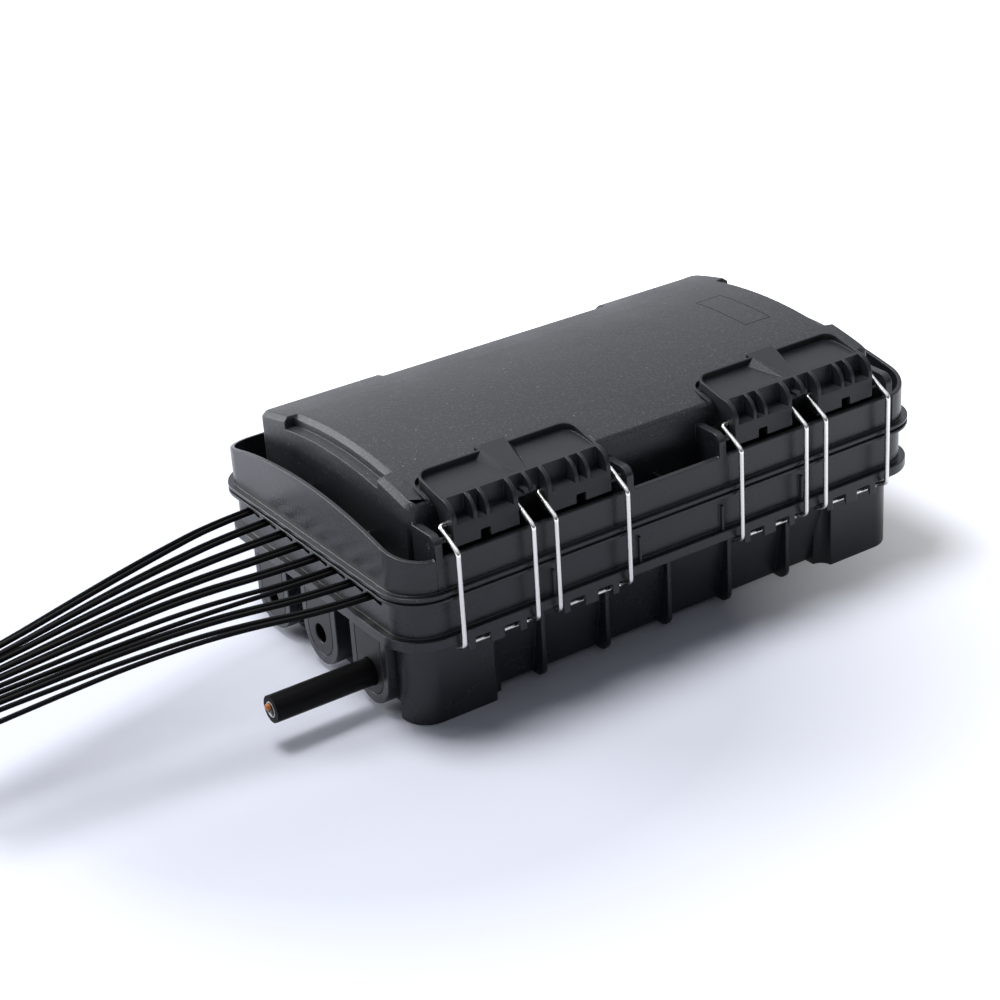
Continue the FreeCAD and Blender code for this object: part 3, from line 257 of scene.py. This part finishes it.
def moulded(name, dark, light, rough, grain=FINE_GRAIN, strength=0.25, dust=0.0, gloss=0.5, smudge=0.05,
            grain_glints=0.0, engraved=False):
    """Moulded plastic or rubber with fine grain and a slow change of tone, and dust where asked.

    The engraved one is the lid's: a top with painted glints on its high grains and the label frame, whose line
    is painted dark as the shade in its groove, above a smoother collar.
    """
    material, tree, shader = finish_of(name, dark, rough)
    shader.inputs["Specular IOR Level"].default_value = gloss
    grains = add(tree, "ShaderNodeGroup", node_tree=GRAIN, Grain=grain)
    height = grains.outputs["Height"]
    colour = ramp(tree, grains.outputs["Cloud"], dark, light)
    roughness = spread(tree, grains.outputs["Cloud"], rough - smudge, rough + smudge)
    if engraved:
        above = spread(tree, axes(tree, place(tree))["Z"], 0.0, 1.0, *TOP_STARTS)
        # Pale flecks on the high grains of the top only: painted glints of the grain
        glint_flecks = math_node(tree, "MULTIPLY", spread(tree, height, 0.0, grain_glints, *GLINT_GRAINS), above)
        colour = mixed(tree, glint_flecks, colour, GRAIN_GLINT_TONE)
        polish = spread(tree, above, COLLAR_POLISH, 0.0, 0.0, 1.0)
        roughness = math_node(tree, "SUBTRACT", roughness, polish)
    if dust:
        specks = add(tree, "ShaderNodeGroup", node_tree=DUST, Amount=dust)
        colour = mixed(tree, specks.outputs["Mask"], colour, DUST_TONE)
    if engraved:
        line = label_frame(tree)
        # The frame's line is painted near black: painted shade in its engraved groove
        colour = mixed(tree, line, colour, FRAME_GROOVE_SHADE)
        roughness = math_node(tree, "ADD", roughness, math_node(tree, "MULTIPLY", line, FRAME_ROUGH))
        height = math_node(tree, "SUBTRACT", height, math_node(tree, "MULTIPLY", line, FRAME_DEEP))
    tree.links.new(colour, shader.inputs["Base Color"])
    tree.links.new(roughness, shader.inputs["Roughness"])
    bump(tree, shader, height, strength, GRAIN_DEPTH)
    return material


def drawn_steel(name, tone, rough, along):
    """Drawn wire or rod: long fine scratches along one axis."""
    material, tree, shader = finish_of(name, tone, rough, 1.0)
    stretch = add(tree, "ShaderNodeMapping", Scale=along)
    tree.links.new(place(tree), stretch.inputs["Vector"])
    lines = noise(tree, stretch.outputs["Vector"], Scale=SCRATCH_SCALE, Detail=4.0).outputs["Fac"]
    shaded = tuple(SCRATCH_SHADE * c for c in tone)
    roughness = spread(tree, lines, rough - SCRATCH_SMOOTH, rough + SCRATCH_ROUGH)
    tree.links.new(ramp(tree, lines, shaded, tone), shader.inputs["Base Color"])
    tree.links.new(roughness, shader.inputs["Roughness"])
    bump(tree, shader, lines, SCRATCH_STRENGTH, SCRATCH_DEPTH)
    return material


# Materials: dark and light tone, roughness, then the grain's scale and strength where it isn't the fine one
LEVER_TONES = ((0.014, 0.0152, 0.018), (0.021, 0.0225, 0.026))
BASE = moulded("base_plastic", (0.018, 0.0195, 0.024), (0.027, 0.029, 0.034), 0.3,
               dust=0.05, gloss=0.36, smudge=0.08)
LID = moulded("lid_plastic", (0.018, 0.019, 0.0225), (0.026, 0.027, 0.031), 0.45, 900.0, 0.6,
              dust=0.5, gloss=0.38, smudge=0.06, grain_glints=0.6, engraved=True)
LEVER = moulded("lever_plastic", *LEVER_TONES, 0.4, dust=0.1, gloss=0.3, smudge=0.08)
TAB_SIDE = moulded("tab_side_plastic", *LEVER_TONES, 0.3, gloss=0.55)
RUBBER = moulded("seal_rubber", (0.006, 0.006, 0.0065), (0.010, 0.010, 0.0105), 0.62, 1400.0, 0.3)
GROMMET = moulded("grommet_rubber", (0.004, 0.0042, 0.005), (0.007, 0.0073, 0.0082), 0.48, 1600.0, 0.3)
FITTING = moulded("fitting_plastic", (0.014, 0.014, 0.015), (0.02, 0.02, 0.021), 0.5)
TRAY = moulded("tray_plastic", (0.55, 0.55, 0.53), (0.62, 0.62, 0.6), 0.45)
MODULE = moulded("module_plastic", (0.2, 0.2, 0.2), (0.25, 0.25, 0.25), 0.5)
SLEEVE = moulded("sleeve_plastic", (0.6, 0.6, 0.58), (0.7, 0.7, 0.68), 0.25)
JACKET = moulded("drop_jacket", (0.0022, 0.0022, 0.0025), (0.0035, 0.0035, 0.0039), 0.5, 1800.0, 0.15,
                 gloss=0.07)
TRUNK = moulded("trunk_jacket", (0.0025, 0.0025, 0.0029), (0.004, 0.004, 0.0045), 0.42, 1500.0, 0.2,
                gloss=0.08)
TUBE = moulded("orange_tube", (0.42, 0.11, 0.015), (0.56, 0.17, 0.03), 0.35, 1500.0, 0.1)
FILLER = moulded("filler_tube", (0.05, 0.055, 0.04), (0.09, 0.095, 0.07), 0.45, 1500.0, 0.1)
WIRE = drawn_steel("wire_steel", (0.84, 0.83, 0.8), 0.2, (1.0, 1.0, 0.05))
PIN = drawn_steel("pin_steel", (0.6, 0.6, 0.6), 0.3, (0.05, 1.0, 1.0))
FIXING = drawn_steel("fixing_steel", (0.62, 0.61, 0.58), 0.32, (1.0, 1.0, 1.0))

# Clear cover of the splice tray
CLEAR, clear_tree, clear_shader = finish_of("cover_plastic", (0.85, 0.87, 0.88), 0.12)
clear_shader.inputs["Transmission Weight"].default_value = 0.9
clear_shader.inputs["IOR"].default_value = 1.49
clear_grain = add(clear_tree, "ShaderNodeGroup", node_tree=GRAIN)
bump(clear_tree, clear_shader, clear_grain.outputs["Height"], 0.03, 0.1 * MM)

FINISH = {
    "base_plastic": BASE, "lid_plastic": LID, "lever_plastic": LEVER, "seal_rubber": RUBBER,
    "grommet_rubber": GROMMET, "fitting_plastic": FITTING, "tray_plastic": TRAY, "module_plastic": MODULE,
    "sleeve_plastic": SLEEVE, "drop_jacket": JACKET, "trunk_jacket": TRUNK, "wire_steel": WIRE,
    "pin_steel": PIN, "fixing_steel": FIXING, "cover_plastic": CLEAR,
}
SLOT = {s["node"]: s["material_slot"] for s in frame["record"]["subparts"]}
BODY = {n: b for b, names in frame["record"]["behaviour"]["bodies"].items() for n in names}
for node, obj in frame["nodes"].items():
    obj.data.materials.clear()
    obj.data.materials.append(FINISH[SLOT[node]])

# Pieces with rounded edges that stand for the sharp solids
SAME_POINT = 1e-6
SAME_PLANE = math.radians(0.6)
EDGE_ANGLE = math.radians(32)
EDGE_SEGMENTS = 2
SHARP_ANGLE = math.radians(50)
LARGE_FACES = 100


def baked(obj):
    """Applies an object's modifiers to a plain mesh."""
    shapes = bpy.context.evaluated_depsgraph_get()
    mesh = bpy.data.meshes.new_from_object(obj.evaluated_get(shapes))
    obj.modifiers.clear()
    obj.data = mesh


def bevel(piece, width, segments):
    """Rounds the weighted edges of a piece."""
    edge = piece.modifiers.new("edge", "BEVEL")
    edge.width = width
    edge.segments = segments
    edge.limit_method = "WEIGHT"
    edge.use_clamp_overlap = False
    edge.miter_outer = "MITER_ARC"
    baked(piece)


def weigh(piece, rule):
    """Gives each edge the bevel weight that a rule reads from its ends and the angle across it."""
    shape = bmesh.new()
    shape.from_mesh(piece.data)
    layers = shape.edges.layers.float
    layer = layers.get("bevel_weight_edge") or layers.new("bevel_weight_edge")
    for edge in shape.edges:
        angle = edge.calc_face_angle_signed(0.0) if len(edge.link_faces) == 2 else 0.0
        edge[layer] = rule(edge.verts[0].co, edge.verts[1].co, angle)
    shape.to_mesh(piece.data)
    shape.free()


def creased(a, b, angle):
    """Full weight for every edge that isn't nearly flat."""
    return 1.0 if abs(angle) > EDGE_ANGLE else 0.0


def smoothed(mesh, sharp):
    """Smooth shading, except across edges above an angle."""
    for face in mesh.polygons:
        face.use_smooth = True
    mesh.set_sharp_from_angle(angle=sharp)


def evened(piece):
    """Smooth shading that large flat faces decide."""
    smoothed(piece.data, SHARP_ANGLE)
    flat = piece.modifiers.new("flat", "WEIGHTED_NORMAL")
    flat.keep_sharp = True
    flat.weight = LARGE_FACES
    baked(piece)


def rounded(node, width, name, rule=creased, first=None, first_width=0.0, settle=None):
    """Copy of a solid with the edges of one rule rounded, after a flat chamfer on those of another."""
    mesh = frame["nodes"][node].data.copy()
    shape = bmesh.new()
    shape.from_mesh(mesh)
    bmesh.ops.remove_doubles(shape, verts=shape.verts, dist=SAME_POINT)
    bmesh.ops.dissolve_limit(shape, angle_limit=SAME_PLANE, verts=shape.verts, edges=shape.edges)
    shape.to_mesh(mesh)
    shape.free()
    piece = link(bpy.data.objects.new(name, mesh))
    if first:
        weigh(piece, first)
        bevel(piece, first_width, 1)
    weigh(piece, rule)
    bevel(piece, width, EDGE_SEGMENTS)
    if settle:
        for spot in piece.data.vertices:
            spot.co.z = settle(spot.co)
    evened(piece)
    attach(piece, BODY[node])
    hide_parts(node)


def drawn(shape, name, material):
    """Turns a shape into a piece of one material."""
    bmesh.ops.recalc_face_normals(shape, faces=shape.faces)
    mesh = bpy.data.meshes.new(name)
    shape.to_mesh(mesh)
    shape.free()
    mesh.materials.append(material)
    return link(bpy.data.objects.new(name, mesh))


def skinned(shape, rings):
    """Faces between neighbouring rings of points, and one at each end."""
    count = len(rings[0])
    for near, far in zip(rings, rings[1:]):
        for i in range(count):
            k = (i + 1) % count
            shape.faces.new((near[i], near[k], far[k], far[i]))
    shape.faces.new(rings[0])
    shape.faces.new(rings[-1])


# Top of the lid in millimetres: an arch, with a chamfer that is wide at both ends and narrow along the
# front and rear. The weights are shares of its width.
LID_TOP = 113.2
LID_ARC = 260.0
LID_HALF_Y = 70.0
ON_ARCH = 0.25
CHAMFER = 2.4
CHAMFER_ANGLE = math.radians(40)
CHAMFER_NARROW = 0.55
CHAMFER_GROWS = 0.45
END_X = 125.0
SIDE_Y = 60.0
LID_EDGE = 0.4


def arch(y):
    """Height of the lid top at a distance from its middle line."""
    return LID_TOP - LID_ARC + math.sqrt(LID_ARC ** 2 - y * y)


def on_top(spot):
    return abs(spot.y) < LID_HALF_Y * MM and abs(spot.z / MM - arch(spot.y / MM)) < ON_ARCH


def lid_rim(a, b, angle):
    """Weight of the chamfer, which widens round each corner towards the ends."""
    if angle < CHAMFER_ANGLE or not (on_top(a) and on_top(b)):
        return 0.0
    if min(abs(a.x), abs(b.x)) > END_X * MM:
        return CHAMFER_NARROW + CHAMFER_GROWS * (abs(b.y - a.y) / (b - a).length)
    return CHAMFER_NARROW if min(abs(a.y), abs(b.y)) > SIDE_Y * MM else 0.0


def under_arch(spot):
    """Height of a point of the lid, held down to the arch of its top."""
    return min(spot.z, arch(spot.y / MM) * MM) if abs(spot.y) < LID_HALF_Y * MM else spot.z


# Lip of the lid round each lever, with a small pocket at the lever's rear corners
LEVER_X = 77.5
LEVER_HALF = 42.0
LEVER_REAR = -51.5
LEVERS = (("left", -LEVER_X), ("right", LEVER_X))
LIP_FRONT = -66.5
RIM_FRONT = -65.28
NEST_GAP = 2.5
NEST_REAR = LEVER_REAR + NEST_GAP
NEST_SIDES = [x + k * (LEVER_HALF + NEST_GAP) for _, x in LEVERS for k in (-1, 1)]
NEST_DEEP = 2.6
AT_NEST = 0.1
LIP_GAP = 0.6
LIP_LAP = 0.25
LIP_RISE = 0.02
LIP_SINK = 0.1
LIP_BANDS = 6
POCKET_MID = -5.19
POCKET_RADIUS = 6.43
POCKET_REACH = 8.0
POCKET_STEPS = 10


def lid_crease(a, b, angle):
    """The sides and rear of each nest stay sharp, because the lip runs on from them."""
    beside = any(max(abs(a.x / MM - x), abs(b.x / MM - x)) < AT_NEST for x in NEST_SIDES)
    behind = max(abs(a.y / MM - NEST_REAR), abs(b.y / MM - NEST_REAR)) < AT_NEST
    return 0.0 if (beside or behind) and on_top(a) and on_top(b) else creased(a, b, angle)


def nest_lip(name, lever_x):
    """Fills the lid round one lever up to a narrow gap; plan points are measured from its rear edge."""
    front = LIP_FRONT - LEVER_REAR
    start = math.atan2(-POCKET_REACH - POCKET_MID, LIP_GAP - POCKET_MID)
    end = math.atan2(LIP_GAP - POCKET_MID, -POCKET_REACH - POCKET_MID)
    inner = [(LEVER_HALF + LIP_GAP, front)]
    for i in range(POCKET_STEPS + 1):
        turn = start + (end - start) * i / POCKET_STEPS
        inner.append((LEVER_HALF + POCKET_MID + POCKET_RADIUS * math.cos(turn),
                      POCKET_MID + POCKET_RADIUS * math.sin(turn)))
    inner += [(-x, y) for x, y in reversed(inner)]
    wide = LEVER_HALF + NEST_GAP + LIP_LAP
    rear = NEST_GAP + LIP_LAP
    outer = [(-wide, front), (-wide, rear), (wide, rear), (wide, front)]
    shape = bmesh.new()
    plan = [shape.verts.new((lever_x + x, LEVER_REAR + y, 0.0)) for x, y in inner + outer]
    lifted = bmesh.ops.extrude_face_region(shape, geom=[shape.faces.new(plan)])["geom"]
    for spot in lifted:
        if isinstance(spot, bmesh.types.BMVert):
            spot.co.z = 1.0
    bmesh.ops.triangulate(shape, faces=shape.faces)
    for i in range(1, LIP_BANDS + 1):
        level = NEST_REAR + (RIM_FRONT - NEST_REAR) * i / LIP_BANDS
        bmesh.ops.bisect_plane(shape, geom=shape.verts[:] + shape.edges[:] + shape.faces[:],
                               plane_co=(0, level, 0), plane_no=(0, 1, 0))
    for spot in shape.verts:
        chamfer = max(0.0, RIM_FRONT - spot.co.y)
        z = arch(spot.co.y) + (LIP_RISE - chamfer if spot.co.z > 0.5 else -NEST_DEEP - LIP_SINK)
        spot.co = (spot.co.x * MM, spot.co.y * MM, z * MM)
    piece = drawn(shape, name, LID)
    evened(piece)
    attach(piece, "lid")


# Sloped sides of each lever's thumb tab, down to the floor of the recess
TAB_REAR = -52.8
TAB_FRONT = -72.0
TAB_TIP = -48.6
TAB_WIDE = 16.3
TAB_NARROW = 6.0
TAB_TOP = 112.198
LEVER_SLOPE = 0.22
FLANK_REAR = (3.4, 3.4)
FLANK_FRONT = (1.2, 0.9)
FLANK_ROOT = 0.4
FLANK_SINK = 0.02


def tab_flank(name, lever_x, side):
    """One sloped side, between a rear and a front end of a depth and a width each."""
    shape = bmesh.new()
    ends = []
    for y, (deep, wide) in ((TAB_REAR, FLANK_REAR), (TAB_FRONT, FLANK_FRONT)):
        half = (TAB_NARROW + (TAB_WIDE - TAB_NARROW) * (y - TAB_FRONT) / (TAB_TIP - TAB_FRONT)) / 2
        top = TAB_TOP - (LEVER_REAR - y) * LEVER_SLOPE
        corners = ((half - FLANK_ROOT, top - FLANK_SINK), (half, top - FLANK_SINK),
                   (half + wide, top - deep), (half - FLANK_ROOT, top - deep))
        ends.append([shape.verts.new(((lever_x + side * x) * MM, y * MM, z * MM)) for x, z in corners])
    skinned(shape, ends)
    piece = drawn(shape, name, TAB_SIDE)
    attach(piece, "lever_left" if lever_x < 0 else "lever_right")


# Cables: the routes of the solids as smooth curves
ROUND_STEPS = 5
CURVE_STEPS = 14
CURVE_ORDER = 3


def cable(name, points, radius, node):
    """Smooth round curve that stands for the solid of a cable."""
    curve = bpy.data.curves.new(name, "CURVE")
    curve.dimensions = "3D"
    curve.bevel_depth = radius
    curve.bevel_resolution = ROUND_STEPS
    curve.use_fill_caps = True
    curve.resolution_u = CURVE_STEPS
    line = curve.splines.new("NURBS")
    line.points.add(len(points) - 1)
    for spot, point in zip(line.points, points):
        spot.co = (*point, 1.0)
    line.order_u = CURVE_ORDER
    line.use_endpoint_u = True
    curve.materials.append(FINISH[SLOT[node]])
    piece = link(bpy.data.objects.new(name, curve))
    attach(piece, "base")
    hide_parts(node)
    return piece


# Drop cables: two to a notch, straight through the wall, then fanned out. Each row of the fan holds the
# sideways position and the height lost at the four outer points.
DROP_RADIUS = 1.15
DROP_HEIGHT = 62.2
NOTCH_PITCH = 15.8
MIDDLE_NOTCH = 3.5
PAIR_HALF = 1.6
DROP_X = (-114.0, -161.0, -208.0, -250.0, -290.0, -328.0)
DROP_FAN = (
    (-42.0, 1.1, -36.6, 2.7, -36.9, 4.5, -37.9, 6.4),
    (-37.0, 1.3, -30.6, 3.3, -28.2, 5.5, -26.3, 7.8),
    (-28.7, 1.1, -24.2, 2.8, -23.7, 4.7, -23.5, 6.6),
    (-24.6, 1.4, -19.9, 3.5, -18.6, 5.9, -18.0, 8.2),
    (-19.8, 1.1, -17.3, 2.6, -16.2, 4.6, -15.7, 6.6),
    (-12.0, 1.4, -9.0, 3.6, -8.4, 6.3, -7.6, 9.0),
    (-2.4, 1.1, -3.3, 2.7, -6.1, 4.3, -8.1, 6.0),
    (2.4, 1.5, 2.1, 3.8, -0.4, 6.8, -2.1, 9.2),
    (8.6, 1.1, 5.2, 2.7, 0.8, 4.3, -2.4, 6.4),
    (13.2, 1.5, 10.2, 3.7, 5.8, 6.5, 2.9, 9.2),
    (20.0, 1.2, 15.0, 2.8, 8.2, 4.6, 3.4, 6.4),
    (24.2, 1.7, 19.4, 4.4, 12.7, 7.0, 8.2, 9.0),
    (30.0, 0.9, 21.3, 2.1, 12.2, 4.0, 6.1, 6.6),
    (34.3, 1.4, 25.6, 3.6, 16.6, 6.5, 10.9, 9.2),
    (41.5, 1.2, 30.0, 2.8, 18.5, 4.4, 10.9, 6.3),
    (46.1, 1.5, 34.3, 3.6, 23.0, 6.2, 15.8, 8.8),
)
for i, fan in enumerate(DROP_FAN):
    lead = (i // 2 - MIDDLE_NOTCH) * NOTCH_PITCH + PAIR_HALF * (2 * (i % 2) - 1)
    across = (lead, lead) + fan[0::2]
    sinks = (0.0, 0.0) + fan[1::2]
    route = [(x * MM, y * MM, (DROP_HEIGHT - s) * MM) for x, y, s in zip(DROP_X, across, sinks)]
    drop = cable("drop_cable_%02d" % (i + 1), route, DROP_RADIUS * MM, "drop_%02d" % (i + 1))

# Trunk cable, a straight stub with what shows at its cut end
TRUNK_RADIUS = 6.5
TRUNK_Y = -44.5
TRUNK_Z = 18.8
TRUNK_LINE = [(x * MM, TRUNK_Y * MM, TRUNK_Z * MM) for x in (-99.8, -122.0, -146.0, -171.0, -196.8)]
TURNED_STEPS = 28
TURNED_SHARP = math.radians(40)
trunk = cable("trunk_stub", TRUNK_LINE, TRUNK_RADIUS * MM, "trunk_cable")
cut_end = Vector(TRUNK_LINE[-1])


def turned(name, profile, across, up, material):
    """Turned piece on the cut end; the profile holds radius and distance out, in millimetres."""
    shape = bmesh.new()
    rings = []
    for radius, out in profile:
        ring = []
        for i in range(TURNED_STEPS):
            turn = 2 * math.pi * i / TURNED_STEPS
            spot = Vector((-out, across + radius * math.cos(turn), up + radius * math.sin(turn)))
            ring.append(shape.verts.new(cut_end + spot * MM))
        rings.append(ring)
    skinned(shape, rings)
    piece = drawn(shape, name, material)
    smoothed(piece.data, TURNED_SHARP)
    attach(piece, "base")
    return piece


cut_pieces = [
    turned("trunk_tape", ((3.75, -0.5), (3.75, 0.15), (3.6, 0.25), (3.3, 0.2), (3.2, 0.08)), 0.0, 0.0, FIXING),
    # The dark rubber disc in the hollow of the cut end is painted shade
    turned("trunk_hollow_shade", ((3.2, -0.5), (3.2, 0.08), (3.0, 0.12)), 0.0, 0.0, RUBBER),
    turned("trunk_tube", ((1.5, -0.5), (1.5, 1.5), (1.3, 1.8), (0.7, 1.95)), 0.9, 1.2, TUBE),
    turned("trunk_filler_1", ((1.15, -0.5), (1.15, 0.5), (0.9, 0.7)), -1.2, -0.7, FILLER),
    turned("trunk_filler_2", ((0.95, -0.5), (0.95, 0.4), (0.8, 0.55)), -0.2, -2.0, SLEEVE),
]

# Lid, lips, thumb tabs, and the solids whose edges are only rounded
MOULDED_EDGES = {"base_tub": 0.5, "lever_left": 0.35, "lever_right": 0.35,
                 "grommet_1": 0.5, "grommet_2": 0.5, "grommet_3": 0.5}
rounded("lid", LID_EDGE * MM, "lid_moulding", lid_crease, lid_rim, CHAMFER * MM, under_arch)
for lever, lever_x in LEVERS:
    nest_lip("nest_lip_%s" % lever, lever_x)
for lever, lever_x in LEVERS:
    tab_flank("tab_flank_%s_1" % lever, lever_x, -1)
    tab_flank("tab_flank_%s_2" % lever, lever_x, 1)
for node, width in MOULDED_EDGES.items():
    rounded(node, width * MM, node + "_moulding")

# Floor: pale paper that glows towards the distance, in metres
FLOOR_HALF = 8.0
FLOOR_TONE = (0.72, 0.745, 0.84)
FLOOR_ROUGH = 0.9
GLOW_TONE = (1.0, 1.0, 1.0, 1.0)
GLOW_MIDDLE = (-0.13, -0.02, 0.0)
GLOW_REACH = (0.17, 0.5)

paper, floor_tree, floor_shader = finish_of("floor_paper", FLOOR_TONE, FLOOR_ROUGH)
floor_shader.inputs["Specular IOR Level"].default_value = 0.0
reach = add(floor_tree, "ShaderNodeVectorMath", operation="DISTANCE")
reach.inputs[1].default_value = GLOW_MIDDLE
floor_tree.links.new(place(floor_tree), reach.inputs[0])
away = spread(floor_tree, reach.outputs["Value"], 0.0, 1.0, *GLOW_REACH)
rays = add(floor_tree, "ShaderNodeLightPath").outputs
in_view = math_node(floor_tree, "MAXIMUM", rays["Is Camera Ray"], rays["Is Glossy Ray"])
glow = add(floor_tree, "ShaderNodeEmission", Color=GLOW_TONE)
floor_tree.links.new(math_node(floor_tree, "MULTIPLY", in_view, away), glow.inputs["Strength"])
both = add(floor_tree, "ShaderNodeAddShader")
floor_tree.links.new(floor_shader.outputs["BSDF"], both.inputs[0])
floor_tree.links.new(glow.outputs["Emission"], both.inputs[1])
floor_tree.links.new(both.outputs["Shader"], floor_tree.nodes["Material Output"].inputs["Surface"])

floor_mesh = bpy.data.meshes.new("floor")
corners = [(x * FLOOR_HALF, y * FLOOR_HALF, 0.0) for x, y in ((-1, -1), (1, -1), (1, 1), (-1, 1))]
floor_mesh.from_pydata(corners, [], [(0, 1, 2, 3)])
floor_mesh.materials.append(paper)
link(bpy.data.objects.new("floor", floor_mesh))

# Surroundings: white where seen, mirrored as a room with a dark front, a bright rear wall and a bright
# ceiling, and dim as light on the piece
SKY_TONE = (0.90, 0.93, 1.0)
FRONT_LEVEL = 0.12
REAR_WALL = (-0.35, 0.5)
CEILING = (0.25, 0.75)
FILL_LEVEL = 0.17

world = bpy.data.worlds.new("studio")
bpy.context.scene.world = world
world.use_nodes = True
studio = world.node_tree
sky = studio.nodes["Background"]
sky.inputs["Color"].default_value = (*SKY_TONE, 1.0)
rays = add(studio, "ShaderNodeLightPath").outputs
facing = axes(studio, add(studio, "ShaderNodeTexCoord").outputs["Generated"])
rear_wall = spread(studio, facing["Y"], FRONT_LEVEL, 1.0, *REAR_WALL)
ceiling = spread(studio, facing["Z"], FRONT_LEVEL, 1.0, *CEILING)
room = math_node(studio, "MAXIMUM", rear_wall, ceiling)
mirrored = math_node(studio, "MULTIPLY", rays["Is Glossy Ray"], room)
seen = math_node(studio, "MAXIMUM", rays["Is Camera Ray"], rays["Is Transmission Ray"])
shown = math_node(studio, "MAXIMUM", seen, mirrored)
studio.links.new(math_node(studio, "MAXIMUM", shown, FILL_LEVEL), sky.inputs["Strength"])


def softbox(name, spot, target, wide, high, watts):
    """Rectangular lamp at a spot, aimed at a target, in metres."""
    lamp = bpy.data.lights.new(name, "AREA")
    lamp.shape = "RECTANGLE"
    lamp.size = wide
    lamp.size_y = high
    lamp.energy = watts
    obj = link(bpy.data.objects.new(name, lamp))
    obj.location = spot
    obj.rotation_euler = (Vector(target) - Vector(spot)).to_track_quat("-Z", "Y").to_euler()


softbox("top_softbox", (-0.3, 0.4, 1.65), (0.0, 0.0, 0.03), 0.65, 0.65, 27.0)
softbox("rear_left_softbox", (-0.95, 1.2, 0.7), (0.0, 0.0, 0.1), 0.8, 0.7, 18.0)
